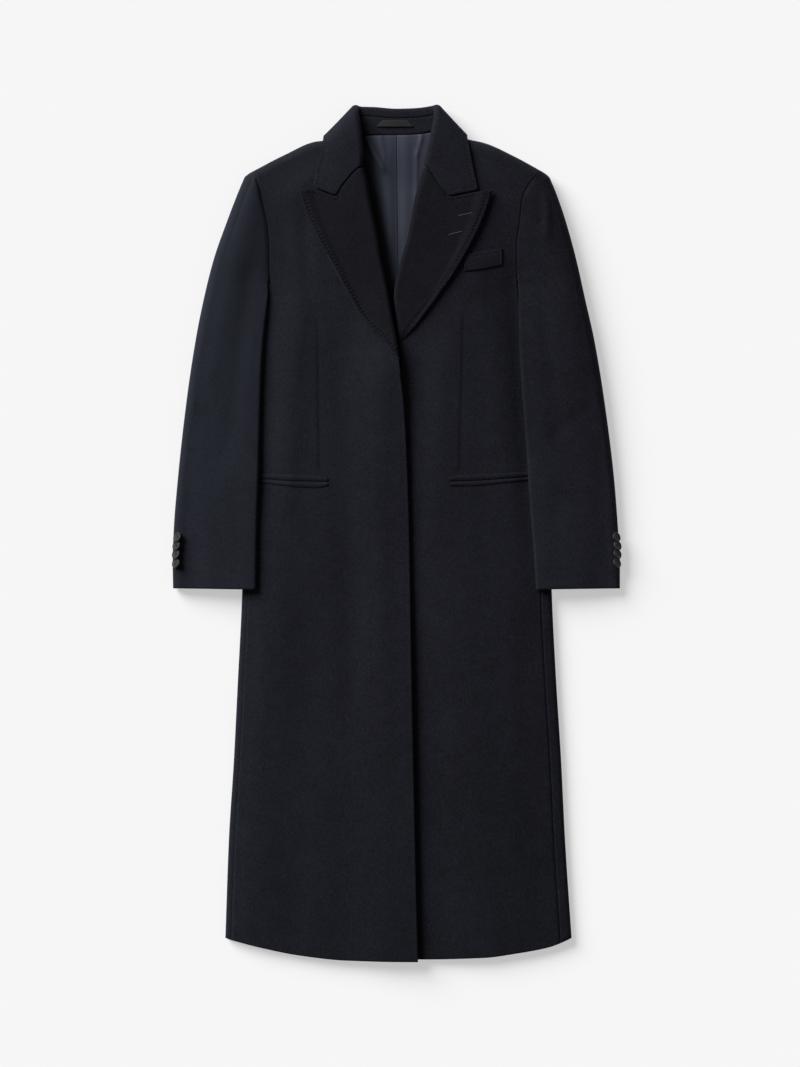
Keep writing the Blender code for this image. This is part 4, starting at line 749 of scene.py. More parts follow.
class SleeveRow:
    """One row across a sleeve, from its outer fold to the armhole or its inner fold."""

    def __init__(self, which, at, outer_y, inner_y):
        self.which, self.sign = which, SIGN[which]
        self.folded = inner_y <= SLEEVE_FOLD_Y + 1e-9
        self.radius = float(SLEEVE_RADIUS(outer_y))
        self.fold = float(SLEEVE_FOLD(inner_y))
        self.outer = np.array([float(sleeve_outside[which](outer_y)), outer_y])
        self.out = curve_normal(sleeve_outside[which], self.sign, outer_y)
        if at < 1:
            tip = shoulder_point(which, 0, 90)[:2]
            out = (tip - shoulder_point(which, 0, 0)[:2]) / SHOULDER_RADIUS
            if at == 0:
                self.outer = tip
            self.out = unit(self.out * at + out * (1 - at))
        inner_curve = sleeve_inside[which] if self.folded else armhole[which]
        self.inner = np.array([float(inner_curve(inner_y)), inner_y])
        self.to_body = -curve_normal(sleeve_inside[which], self.sign, inner_y)
        room = RESTS + OVER_POCKET * bump(*POCKET_BAND, inner_y)
        self.side_x = float(edge_x(which, inner_y))
        across_body = np.linspace(self.inner[0] - self.sign * REST_MARGIN, self.side_x, 9)
        support = float(np.max(body_height(across_body, min(inner_y, UNDERARM_Y)))) + room
        over_body = float(smooth(*REST_START, inner_y))
        seam_height = float(HEIGHTS(inner_y)[0])
        self.low = support * over_body
        self.high = seam_height + (support + 2 * self.fold - seam_height) * over_body
        self.head = float(smooth(*HEAD_START, inner_y) * smooth(*HEAD_END, inner_y))

    def outer_arc(self, degrees):
        angle = np.radians(degrees)[:, None]
        plan = self.outer + self.out * self.radius * (np.cos(angle) - 1)
        return np.concatenate([plan, self.radius * (1 + np.sin(angle))], 1)

    def inner_arc(self, degrees):
        angle = np.radians(degrees)[:, None]
        plan = self.inner + self.to_body * self.fold * (np.cos(angle) - 1)
        return np.concatenate([plan, self.low + self.fold * (1 + np.sin(angle))], 1)

    def ends(self):
        inner = self.inner - self.to_body * self.fold * self.folded
        return self.outer - self.out * self.radius, inner

    def top(self):
        """Points across the upper face, from the outer fold to the armhole or the inner fold."""
        share = np.linspace(0, 1, TOP_COLUMNS)[1:, None]
        start, end = self.ends()
        plan = part_way(start, end, share)
        height = 2 * self.radius + (self.high - 2 * self.radius) * smooth(0, 1, share)
        height += SLEEVE_CROWN * np.sin(np.pi * share)
        from_seam = np.linalg.norm(plan - end, axis=1)[:, None]
        rolled = (1 - bump(0, HEAD_ROLL_WIDTH, from_seam)) * smooth(*HEAD_ROLL_FADE, from_seam)
        height += HEAD_ROLL[self.which] * self.head * rolled
        x, y = plan[:, :1], plan[:, 1:]
        height += folds(SLEEVE_FOLDS, x, y) * np.sin(np.pi * share) ** 0.5
        from_fold = np.abs(x - self.outer[0])
        in_vent = smooth(CUFF_VENT_TOP + 0.004, CUFF_VENT_TOP - 0.004, y)
        above = smooth(CUFF_VENT_INSET + 0.001, CUFF_VENT_INSET - 0.002, from_fold)
        height += CUFF_VENT_STEP * above * in_vent
        return np.concatenate([plan, height], 1)

    def under(self):
        """Points across the underside: on the floor, then sloping up on to the body."""
        start, end = self.ends()
        width = abs(end[0] - start[0])
        from_end = abs(end[0] - self.side_x)
        on_body = min(width - from_end - BRIDGE_MARGIN, width * BRIDGE_MOST)
        on_floor = max(on_body - BRIDGE, on_body * FLOOR_LEAST)
        share = np.linspace(0, 1, UNDER_COLUMNS)[1:, None]
        height = self.low * smooth(on_floor, on_body, share * width)
        return np.concatenate([part_way(start, end, share), height], 1)


def around_shoulder(row, line, last_degrees):
    """The shoulder fold's points, spaced round it as a line's points are."""
    steps = np.linalg.norm(np.diff(line, axis=0), axis=1)
    share = np.append(0, np.cumsum(steps)) / steps.sum()
    return row.outer_arc(SLEEVE_SEAM + (last_degrees - SLEEVE_SEAM) * share)


def build_sleeve(which):
    """A sleeve's top and under piece, which meet along both its folds."""
    numbers = between(SLEEVE_ROWS, SLEEVE_STEP)
    rows = [SleeveRow(which, at, *ys) for at, *ys in zip(numbers, *read(SLEEVE_ROWS, numbers))]
    first_folded = [row.folded for row in rows].index(True)
    made = []
    for kind, last_degrees, outer_arc, inner_arc, outward in SLEEVE_HALVES:
        lines = []
        for at, row in zip(numbers, rows):
            line = np.concatenate([row.outer_arc(outer_arc), getattr(row, kind)()])
            if at < 1:
                line = line * at + around_shoulder(rows[0], line, last_degrees) * (1 - at)
            inner = row.inner_arc(inner_arc) if row.folded else np.repeat(line[-1:], len(inner_arc), 0)
            lines.append(np.concatenate([line, inner]))
        grid = np.array(lines)
        last_flat = grid.shape[1] - len(inner_arc) - 1
        grid[0] = drawn_in(grid[0], grid[1], HEAD_MEETS)
        seam, beside = grid[:first_folded, last_flat], grid[:first_folded, last_flat - 1]
        grid[:first_folded, last_flat] = drawn_in(seam, beside, SEAM_MEETS)

        def keep(row, column, last_flat=last_flat):
            return column < last_flat or row >= first_folded

        rounding = np.full(grid.shape[:2], SLEEVE_ROUND)
        rounding[:first_folded, last_flat] = FLAT_SEAM_ROUND
        made.append(
            shell(f"sleeve_{which}_{kind}_cloth", grid, WOOL, "sleeve wool", outward, keep, rounding)
        )
    return made


ALLOWANCE = 0.0080  # width of the cloth on each side of an armhole's seam, beneath it
ALLOWANCE_THICKNESS = 0.0012
ALLOWANCE_ENDS = (UNDERARM_Y - 0.012, 0.5155)  # y, below the underarm and at the shoulder
ALLOWANCE_NARROW = 0.020  # from the underarm, each way, to where it is nothing and where it is full
ALLOWANCE_DROP = 0.0040  # how much deeper it starts, below the underarm
STANDING_ENDS = (UNDERARM_Y - 0.037, UNDERARM_Y + 0.014)  # y of the allowances that stand on edge
STANDING_HEIGHT = (0.0008, 0.0205)
STANDING_DROP = 0.0065  # how much lower they are under the armhole's seam
STANDING_OUT = 0.0030  # from the body's edge out to them


def build_armhole_seam(which):
    """The seam allowances beneath an armhole's seam, from the underarm up and over the shoulder."""
    across = np.linspace(-ALLOWANCE, ALLOWANCE, 9)[:, None]
    rows = []
    for y in np.linspace(*ALLOWANCE_ENDS, 60):
        narrow = float(smooth(UNDERARM_Y - ALLOWANCE_NARROW, UNDERARM_Y + ALLOWANCE_NARROW, y))
        aside = curve_normal(armhole[which], SIGN[which], y) * across * narrow
        plan = [float(armhole[which](y)), y] + aside
        drop = ALLOWANCE_DROP * float(smooth(UNDERARM_Y + 0.004, ALLOWANCE_ENDS[0], y))
        height = float(HEIGHTS(y)[0]) - WOOL - GAP - drop
        rows.append(np.concatenate([plan, np.full_like(across, height)], 1))
    middle = (shoulder_point(which, 0, 0) + shoulder_point(which, 0, 180)) / 2
    to_neck = unit(shoulder_point(which, 0.03, 0) - shoulder_point(which, 0, 0))
    inner_share = 1 - (WOOL + GAP) / SHOULDER_RADIUS
    for degrees in range(15, 105, 15):
        point = middle + (shoulder_point(which, 0, degrees) - middle) * inner_share
        rows.append(point - to_neck * across)
    return shell(f"armhole_{which}_allowance", rows, ALLOWANCE_THICKNESS, "sleeve wool", bulge=THIN_ROUND)


def build_underarm(which):
    """The allowances that stand on edge at the underarm, between the side fold and the sleeve."""
    rows = []
    low, high = STANDING_HEIGHT
    for y in np.linspace(*STANDING_ENDS, 24):
        drop = STANDING_DROP * float(smooth(UNDERARM_Y - 0.004, UNDERARM_Y + 0.012, y))
        z = np.linspace(low, high - drop, 9)
        x = float(edge_x(which, y)) + SIGN[which] * STANDING_OUT
        rows.append(np.stack([np.full_like(z, x), np.full_like(z, y), z], -1))
    return shell(f"underarm_{which}_allowance", rows, ALLOWANCE_THICKNESS, "sleeve wool", bulge=THIN_ROUND)


# ---------------------------------------------------------------- lapels

lapel_outer = {  # (y, x) of each lapel's outer edge, from the break to the tip
    "right": Curve([(0.2560, 0.0010), (0.2620, -0.0040), (0.2764, -0.0150), (0.2866, -0.0253),
                    (0.3187, -0.0530), (0.3567, -0.0749), (0.3946, -0.0953), (0.4297, -0.1143),
                    (0.4560, -0.1275), (0.4808, -0.1362), (0.4910, -0.1391), (0.4985, -0.1394)]),
    "left": Curve([(0.2735, 0.0039), (0.2840, 0.0120), (0.3114, 0.0346), (0.3435, 0.0594),
                   (0.3684, 0.0769), (0.3932, 0.0930), (0.4195, 0.1076), (0.4487, 0.1222),
                   (0.4749, 0.1324), (0.4939, 0.1383), (0.4990, 0.1405)]),
}
LAPEL_ROWS = {  # (y on the rolled edge, y on the outer edge), from the break to the tip
    "right": [(0.2510, 0.2610), (0.2640, 0.2750), (0.2830, 0.2960), (0.3114, 0.3250),
              (0.3450, 0.3600), (0.3800, 0.3940), (0.4150, 0.4280), (0.4500, 0.4530),
              (0.4800, 0.4720), (0.5050, 0.4860), (0.5200, 0.4930), (0.5328, 0.4985)],
    "left": [(0.2785, 0.2840), (0.2900, 0.3000), (0.3110, 0.3250), (0.3450, 0.3600),
             (0.3800, 0.3940), (0.4150, 0.4280), (0.4500, 0.4530), (0.4800, 0.4720),
             (0.5050, 0.4860), (0.5200, 0.4930), (0.5328, 0.4990)],
}
lapel_top = {  # (share of the width, x, y) along the gorge seam, the notch and the top edge
    "right": Curve([(0.00, -0.0560, 0.5290), (0.10, -0.0620, 0.5238), (0.22, -0.0691, 0.5158),
                    (0.33, -0.0793, 0.5035), (0.44, -0.0885, 0.4898), (0.62, -0.1041, 0.4943),
                    (0.80, -0.1216, 0.5006), (0.92, -0.1333, 0.5010), (1.00, -0.1391, 0.4985)]),
    "left": Curve([(0.00, 0.0470, 0.5280), (0.10, 0.0520, 0.5210), (0.22, 0.0570, 0.5130),
                   (0.33, 0.0660, 0.5005), (0.44, 0.0777, 0.4885), (0.62, 0.0974, 0.4920),
                   (0.80, 0.1164, 0.4962), (0.92, 0.1295, 0.4980), (1.00, 0.1405, 0.4990)]),
}
NOTCH_SHARE = 0.44
TOP_SHARES = [0.10, 0.22, 0.33, NOTCH_SHARE, 0.62, 0.80, 0.92]  # where the gorge and top edge bend
LEAF_SHARES = np.unique(np.append(np.linspace(0, 1, 47)[1:], TOP_SHARES))
LEG_ANGLES = np.linspace(-90, 90, 11)  # degrees round the roll, from inside the coat to the top
LAPEL_TOP_FADE = 0.60  # share of the lapel's length that its top edge's shape reaches down
LAPEL_REST = 0.0008  # between a lapel and the front it lies on
LAPEL_EDGE_LIFT = 0.0028
LIFT_ALONG = (0.05, 0.45)  # shares of the lapel's length over which its edge starts to lift
LIFT_ACROSS = (0.76, 0.92)  # shares of its width over which it lifts
LAPEL_ROLL = (2 * DOUBLE + WOOL + 2 * GAP) / 2
ROLL_OPENS = (-0.06, 0.12)  # shares of the length over which the roll opens at the break
ROLL_SPREAD = 0.5  # share of the width over which the leaf sinks from the roll
FACING_SHORTER = 0.004  # how much less far the lapel runs back inside at the gorge
FACING_MOST = 0.8  # share of the lapel's width that the facing stays inside
LAPEL_STEP = 0.0034


def off_straight(end_line, share):
    """How far a shaped end lies, at shares of its width, from the straight line between its corners."""
    return end_line(share[:, 0]) - part_way(end_line(0), end_line(1), share)


def notch_column(grid):
    """The column of a leaf's points that starts at the notch."""
    return grid.shape[1] - len(LEAF_SHARES) + int(np.searchsorted(LEAF_SHARES, NOTCH_SHARE))


def lapel(which):
    """A lapel's points: each row runs from inside the coat round the roll and over to the outer edge."""
    rows = LAPEL_ROWS[which]
    numbers = between(rows, LAPEL_STEP)
    grid = []
    for at, roll_y, outer_y in zip(numbers, *read(rows, numbers)):
        along = at / (len(rows) - 1)
        rolled = np.array([float(roll[which](roll_y)), roll_y])
        outer = np.array([float(lapel_outer[which](outer_y)), outer_y])
        across = (outer - rolled) / np.linalg.norm(outer - rolled)
        started = float(smooth(*ROLL_OPENS, along))
        radius = LAPEL_ROLL * started + ROLL_GROWTH * float(smooth(0, 1, along))
        centre = rolled + across * radius
        middle = float(lap_height(which, *centre)) - WOOL / 2
        width = np.linalg.norm(outer - centre)
        leg = min(FACING - FACING_SHORTER * float(smooth(0.7, 1, along)), width * FACING_MOST)
        inside = [[*(centre + across * leg * part), middle - radius] for part in (1, 0.5)]
        angle = np.radians(LEG_ANGLES)[:, None]
        round_roll = centre - across * radius * np.cos(angle)
        legs = np.concatenate([round_roll, middle + radius * np.sin(angle)], 1)
        share = LEAF_SHARES[:, None]
        reach = float(smooth(1 - LAPEL_TOP_FADE, 1, along))
        plan = part_way(centre, outer, share) + off_straight(lapel_top[which], share) * reach
        lift = LAPEL_EDGE_LIFT * float(smooth(*LIFT_ALONG, along)) * smooth(*LIFT_ACROSS, LEAF_SHARES)
        rest = lap_height(which, plan[:, 0], plan[:, 1]) + (LAPEL_REST + DOUBLE) * started + lift
        puff = (middle + radius - rest) * smooth(ROLL_SPREAD, 0, LEAF_SHARES)
        leaf = np.concatenate([plan, (rest + np.maximum(puff, 0))[:, None]], 1)
        grid.append(np.concatenate([inside, legs, leaf]))
    return np.array(grid)


def build_lapel(which):
    grid = lapel(which)
    edges = {"lapel": grid[:, -1], "lapel top": grid[-1, : notch_column(grid) - 1 : -1]}
    paths = [(edge, STITCH_INSET, STITCH_DEPTH[kind]) for kind, edge in edges.items()]
    return shell(f"lapel_{which}_cloth", grid, DOUBLE, "lapel wool", bulge=EDGE_ROUND, paths=paths)


# ---------------------------------------------------------------- collar

# Sections across the collar, from the right gorge round the back of the neck to the left one.
# (x, y, z of the rolled edge; x, y, z of the outer edge; turn; roll radius; fall; stand)
# turn is the direction that the leaf's outer face looks in: 0 is up and 180 down.
COLLAR_SECTIONS = [
    (-0.0490, 0.5346, 0.0265, -0.1202, 0.5056, 0.0325, 0, 0.0075, 0.0080, 0.0070),
    (-0.0475, 0.5523, 0.0270, -0.1165, 0.5275, 0.0325, 0, 0.0076, 0.0090, 0.0100),
    (-0.0490, 0.5740, 0.0275, -0.1100, 0.5500, 0.0325, 0, 0.0076, 0.0095, 0.0120),
    (-0.0515, 0.5930, 0.0270, -0.1085, 0.5640, 0.0310, 10, 0.0074, 0.0095, 0.0120),
    (-0.0545, 0.6090, 0.0245, -0.1072, 0.5735, 0.0260, 35, 0.0070, 0.0095, 0.0160),
    (-0.0560, 0.6180, 0.0200, -0.1066, 0.5785, 0.0180, 75, 0.0066, 0.0090, 0.0200),
    (-0.0550, 0.6228, 0.0130, -0.1045, 0.5775, 0.0090, 115, 0.0062, 0.0085, 0.0240),
    (-0.0530, 0.6226, 0.0095, -0.0998, 0.5730, 0.0014, 148, 0.0060, 0.0083, 0.0270),
    (-0.0490, 0.6223, 0.0070, -0.0860, 0.5640, 0.0000, 170, 0.0060, 0.0083, 0.0280),
    (-0.0330, 0.6220, 0.0060, -0.0450, 0.5590, 0.0000, 180, 0.0060, 0.0083, 0.0270),
    (-0.0004, 0.6195, 0.0060, -0.0004, 0.5570, 0.0000, 180, 0.0060, 0.0083, 0.0240),
    (0.0300, 0.6205, 0.0060, 0.0430, 0.5590, 0.0000, 180, 0.0060, 0.0083, 0.0235),
    (0.0480, 0.6228, 0.0070, 0.0840, 0.5640, 0.0000, 170, 0.0060, 0.0083, 0.0210),
    (0.0525, 0.6234, 0.0095, 0.0980, 0.5735, 0.0014, 148, 0.0060, 0.0083, 0.0210),
    (0.0545, 0.6234, 0.0130, 0.1015, 0.5775, 0.0090, 115, 0.0062, 0.0085, 0.0220),
    (0.0558, 0.6198, 0.0200, 0.1040, 0.5800, 0.0180, 75, 0.0066, 0.0090, 0.0200),
    (0.0550, 0.6110, 0.0245, 0.1045, 0.5740, 0.0260, 35, 0.0070, 0.0095, 0.0160),
    (0.0525, 0.5950, 0.0270, 0.1066, 0.5620, 0.0310, 10, 0.0074, 0.0095, 0.0120),
    (0.0490, 0.5780, 0.0275, 0.1095, 0.5460, 0.0325, 0, 0.0076, 0.0095, 0.0120),
    (0.0441, 0.5560, 0.0270, 0.1143, 0.5225, 0.0325, 0, 0.0076, 0.0090, 0.0100),
    (0.0398, 0.5346, 0.0265, 0.1193, 0.5005, 0.0325, 0, 0.0075, 0.0080, 0.0070),
]
collar_end = {  # (share of the width, x, y) along the gorge seam, the notch and the collar's point
    "right": Curve([(0.00, -0.0560, 0.5300), (0.10, -0.0620, 0.5249), (0.22, -0.0691, 0.5171),
                    (0.33, -0.0793, 0.5049), (0.44, -0.0885, 0.4914), (0.62, -0.1010, 0.4958),
                    (0.80, -0.1120, 0.5000), (0.92, -0.1172, 0.5022), (1.00, -0.1202, 0.5056)]),
    "left": Curve([(0.00, 0.0470, 0.5296), (0.10, 0.0520, 0.5227), (0.22, 0.0570, 0.5147),
                   (0.33, 0.0660, 0.5019), (0.44, 0.0777, 0.4900), (0.62, 0.0920, 0.4932),
                   (0.80, 0.1060, 0.4962), (0.92, 0.1164, 0.4987), (1.00, 0.1193, 0.5005)]),
}
collar_sections = Curve([(number, *row) for number, row in enumerate(COLLAR_SECTIONS)])
END_REACH = [1, 0.55, 0.15, 0]  # how much of the end's shape each of its sections takes
SECTION_CUTS = 6  # finer sections for each of the table's
LEAF_BEND = 0.35  # share of the leaf's width over which it carries on flat from the roll


class CollarSection:
    """One section across the collar: its stand inside the neck, its roll and its leaf."""

    def __init__(self, at):
        row = collar_sections(at)
        self.edge, self.outer = row[0:3], row[3:6]
        turn, self.radius, self.fall, self.stand = row[6:]
        across = (self.outer - self.edge) * (1, 1, 0)
        self.across = across / np.linalg.norm(across)
        away = np.array([-self.across[1], self.across[0], 0])
        away *= np.sign(away @ (np.sign(self.edge[0]) * np.array([1, 0, 0]) + np.array([0, 0.2, 0])))
        turn = np.radians(turn)
        self.face = np.array([0, 0, np.cos(turn)]) + away * np.sin(turn)
        self.centre = self.edge + self.across * self.radius
        self.which = "right" if self.edge[0] < 0 else "left"
        from_end = min(at, len(COLLAR_SECTIONS) - 1 - at)
        self.reach = float(np.interp(from_end, range(len(END_REACH)), END_REACH))

    def inside(self, distance):
        """A point on the face towards the neck, below the roll."""
        return self.centre - self.face * self.radius + self.across * distance

    def arc(self, degrees):
        angle = np.radians(degrees)
        return self.centre + (self.face * np.sin(angle) - self.across * np.cos(angle)) * self.radius

    def leaf(self, share):
        start = self.arc(90)
        length = np.linalg.norm(self.outer - start)
        bend = start + self.across * length * LEAF_BEND
        share = share[:, None]
        point = start * (1 - share) ** 2 + bend * 2 * share * (1 - share) + self.outer * share**2
        point[:, :2] = part_way(start, self.outer, share)[:, :2]
        if self.reach:
            point[:, :2] += off_straight(collar_end[self.which], share) * self.reach
        return point


def build_collar():
    """The collar's leaf with its roll and its fall inside the neck, and the stand below that."""
    count = len(COLLAR_SECTIONS)
    sections = [CollarSection(at) for at in np.linspace(0, count - 1, (count - 1) * SECTION_CUTS + 1)]
    leaf = np.array([
        [section.inside(section.fall), section.inside(section.fall / 2)]
        + [section.arc(degrees) for degrees in LEG_ANGLES]
        + list(section.leaf(LEAF_SHARES))
        for section in sections
    ])
    notch = notch_column(leaf)
    round_edge = np.concatenate([leaf[0, notch:], leaf[1:, -1], leaf[-1, : notch - 1 : -1]])
    paths = [(round_edge, STITCH_INSET, STITCH_DEPTH["collar"])]
    collar = shell("collar_cloth", leaf, DOUBLE, "wool", outward=-1, bulge=EDGE_ROUND, paths=paths)
    down = np.linspace(0, 1, 9)
    stand = np.array([
        [section.inside(section.fall + (section.stand - GAP) * share + GAP) for share in down]
        for section in sections
    ])
    return [collar, shell("collar_stand_cloth", stand, WOOL, "wool")]


# ---------------------------------------------------------------- lining and loop

LINING_TOP = Curve([(-0.0800, 0.5740), (-0.0600, 0.5770), (-0.0442, 0.5796), (-0.0019, 0.5804),
                    (0.0185, 0.5808), (0.0379, 0.5822), (0.0507, 0.5840), (0.0800, 0.5740)])
LINING_SEAM = Curve([(0.2600, 0.0025), (0.3844, 0.0025), (0.5810, 0.0003)])  # (y, x)
LINING_EDGE = Curve([(0.2600, 0.0400), (0.5000, 0.0700), (0.5810, 0.0750)])  # (y, x)
LINING_LEVELS = (0.2600, 0.5700)
LINING_SPREAD_Y = 0.5000  # above this its rows fan out to the neck's curve
LINING_RISE = 0.0077  # over the collar's leaf, which lies under the back's neck
LINING_RISE_ENDS = (0.500, 0.575)  # y over which it rises
LINING_SEAM_DIP = (0.0008, 0.010)  # how deep its middle seam lies, and how far the dip spreads

# (x and y at one end, x and y at the other, half width, height) of each fold in the lining.
LINING_FOLDS = [
    (0.0361, 0.5850, 0.0361, 0.5742, 0.0028, 0.0007),
    (0.0361, 0.5742, 0.0302, 0.5523, 0.0028, 0.0007),
    (0.0302, 0.5523, 0.0288, 0.4900, 0.0028, 0.0007),
    (-0.0430, 0.5740, -0.0210, 0.5350, 0.0044, 0.0032),
    (-0.0230, 0.5800, -0.0180, 0.5500, 0.0030, 0.0008),
    (-0.0130, 0.5400, -0.0080, 0.4300, 0.0070, 0.0008),
    (0.0150, 0.5800, 0.0140, 0.4500, 0.0070, 0.0006),
]


def build_lining():
    """The two halves of the back's lining, with a seam down the middle."""
    pieces = []
    level = np.linspace(*LINING_LEVELS, 110)[:, None]
    share = np.linspace(0, 1, 34)
    for which, sign in SIGN.items():
        seam = LINING_SEAM(level) + sign * GAP / 2
        x = part_way(seam, sign * LINING_EDGE(level), share)
        rise = np.clip((level - LINING_SPREAD_Y) / (level[-1] - LINING_SPREAD_Y), 0, 1)
        y = level + (LINING_TOP(x[-1]) - level[-1]) * rise
        dip, spread = LINING_SEAM_DIP
        fold = np.maximum(folds(LINING_FOLDS, x, y), 0) + dip * smooth(0, spread, np.abs(x - seam))
        z = LINING_RISE * smooth(*LINING_RISE_ENDS, y) + WOOL + GAP + SATIN + fold
        grid = np.stack([x, y, z], -1)
        pieces.append(shell(f"lining_{which}_cloth", grid, SATIN, "satin", bulge=THIN_ROUND))
    return pieces


LOOP = [(-0.0296, 0.5925), (0.0251, 0.5925), (0.0164, 0.6020), (-0.0201, 0.6020)]
LOOP_THICKNESS = 0.0012
LOOP_RAISED = 0.0015  # over the stand
LOOP_BOW = 0.0008
STAND_TOP = 0.0120  # height of the stand's face at the back of the neck


def build_loop():
    """The hanger loop: a ribbon that bows up between its mitred ends."""
    bottom_start, bottom_end, top_end, top_start = np.array(LOOP)
    across = np.linspace(0, 1, 40)[None, :, None]
    up = np.linspace(0, 1, 9)[:, None, None]
    bottom = part_way(bottom_start, bottom_end, across)
    plan = part_way(bottom, part_way(top_start, top_end, across), up)
    bow = LOOP_BOW * np.sin(np.pi * across) * np.ones_like(up)
    height = STAND_TOP + GAP + LOOP_RAISED + bow
    grid = np.concatenate([plan, height], -1)
    return shell("hanger_loop_ribbon", grid, LOOP_THICKNESS, "ribbon", bulge=THIN_ROUND)


# ---------------------------------------------------------------- pockets and welt

WELT_THICKNESS = 0.0022
WELT_ENDS = (0.0990, 0.1543)
WELT_UPPER = Curve([(0.0990, 0.4058), (0.1061, 0.4070), (0.1339, 0.4114), (0.1540, 0.4148)])
WELT_LOWER = Curve([(0.0830, 0.3797), (0.1222, 0.3840), (0.1543, 0.3903)])

WELT_CROWN = 0.0004
OPENING = 0.0011  # between a pocket's two jets
JET_CROWN = 0.0011
STRIP_POINTS = (11, 64)  # across and along a jet or the welt
STRIP_ROUND = 0.0006
WELT_STITCHES = (8, -5)  # the welt's row and column of points that its stitches follow

# For each pocket: its ends' x, then (x, y) of its upper edge, its opening and its lower edge.
POCKETS = {
    "right": ((-0.2016, -0.0997),
              Curve([(-0.2016, 0.0868), (-0.1552, 0.0858), (-0.1260, 0.0844), (-0.0997, 0.0815)]),
              Curve([(-0.2016, 0.0800), (-0.1552, 0.0763), (-0.1260, 0.0755), (-0.0997, 0.0750)]),
              Curve([(-0.2016, 0.0745), (-0.1698, 0.0698), (-0.1187, 0.0661), (-0.0997, 0.0691)])),
    "left": ((0.0769, 0.1932),
             Curve([(0.0769, 0.0822), (0.0930, 0.0851), (0.1222, 0.0866), (0.1932, 0.0898)]),
             Curve([(0.0769, 0.0755), (0.1222, 0.0772), (0.1932, 0.0825)]),
             Curve([(0.0769, 0.0686), (0.1149, 0.0691), (0.1514, 0.0727), (0.1932, 0.0770)])),
}


def strip(which, ends, lower, upper, thickness, crown):
    """Points of a narrow piece that lies on a front between two lines, a little crowned across."""
    rows, columns = STRIP_POINTS
    x = np.tile(np.linspace(*ends, columns), (rows, 1))
    share = np.linspace(0, 1, rows)[:, None]
    y = part_way(lower(x), upper(x), share)
    z = lap_height(which, x, y) + GAP + thickness + crown * (np.sin(np.pi * share) - 1)
    return np.stack([x, y, z], -1)


def build_pocket(which):
    """A hip pocket's upper and lower jet."""
    ends, upper, opening, lower = POCKETS[which]
    jets = {
        "upper": (lambda x: opening(x) + OPENING / 2, upper),
        "lower": (lower, lambda x: opening(x) - OPENING / 2),
    }
    return [
        shell(f"pocket_{which}_{kind}_jet_cloth", strip(which, ends, *lines, JET, JET_CROWN),
              JET, "wool", bulge=STRIP_ROUND)
        for kind, lines in jets.items()
    ]


def build_welt():
    grid = strip("left", WELT_ENDS, WELT_LOWER, WELT_UPPER, WELT_THICKNESS, WELT_CROWN)
    row, column = WELT_STITCHES
    stitches = np.concatenate([grid[row, :column], grid[row:2:-1, column]])
    paths = [(stitches, 0, STITCH_DEPTH["welt"])]
    return shell("breast_welt_cloth", grid, WELT_THICKNESS, "wool", bulge=STRIP_ROUND, paths=paths)


# ---------------------------------------------------------------- buttons

BUTTON_RADIUS = 0.0075
BUTTON_THICKNESS = 0.0030
BUTTON_LEAN = 45  # degrees outwards, as the sleeve's outer fold leans
BUTTON_SHINGLE = 17  # degrees, each button tipped over the next one down
BUTTON_SINK = {"right": 0.0011, "left": 0.0007}
CUFF_BUTTONS = {  # (x, y) of each cuff button's middle, from the top one down
    "right": [(-0.3190, -0.0054), (-0.3202, -0.0178), (-0.3209, -0.0302), (-0.3209, -0.0434)],
    "left": [(0.3208, -0.0054), (0.3222, -0.0178), (0.3222, -0.0302), (0.3215, -0.0434)],
}
BUTTON_SIDES = 48
button_face = Curve([(0.00, 0.70), (0.30, 0.69), (0.55, 0.70), (0.66, 0.80), (0.74, 0.97),
                     (0.82, 1.00), (0.90, 0.97), (0.96, 0.84), (1.00, 0.60)])  # (radius, height)
button_back = Curve([(0.00, 0.00), (0.80, 0.00), (0.93, 0.10), (1.00, 0.40)])
BACK_RINGS = [0.4, 0.8, 0.93, 1]  # shares of the radius at the rings of points on its back
FACE_RINGS = [1, 0.98, 0.95, 0.91, 0.86, 0.8, 0.74, 0.69, 0.64, *np.arange(0.60, 0.02, -0.035)]
HOLE_OUT = 0.0015  # from the button's middle to each of its four holes
HOLE_ANGLES = np.radians([45, 135, 225, 315])
HOLE_RADIUS = 0.00065
HOLE_DEPTH = 0.0013
HOLE_SLOPE = (1.15, 0.75)  # in hole radii, from where its side starts down to where it ends
THREAD_RADIUS = 0.00028
THREAD_BARS = [(45, 0.0002), (135, 0.0005)]  # (degrees, height above the face) of the crossed threads
THREAD_SINK = 0.0008  # how deep their ends go into the holes
THREAD_TAPER = 0.55  # how much thinner a thread is at its ends


def button_frame(which, x, y):
    """The button's middle and its turn: its x runs down the sleeve and its z looks outwards."""
    outward, radius = SIGN[which], float(SLEEVE_RADIUS(y))
    lean, tip = np.radians(BUTTON_LEAN), np.radians(BUTTON_SHINGLE)
    normal = Vector((outward * np.sin(lean), 0, np.cos(lean)))
    upslope = Vector((-outward * np.cos(lean), 0, np.sin(lean)))
    off = radius + BUTTON_THICKNESS / 2 + BUTTON_RADIUS * np.sin(tip) - BUTTON_SINK[which]
    fold = Vector((float(sleeve_outside[which](y)) - outward * radius, y, radius))
    middle = fold + normal * off
    middle += upslope * ((x - middle.x) / upslope.x)
    down = Vector((0, -1, 0)) * np.cos(tip) + normal * np.sin(tip)
    axis = upslope.cross(down)
    axis = axis if axis.dot(normal) > 0 else -axis
    return middle, np.array(Matrix((down, axis.cross(down), axis)).transposed())


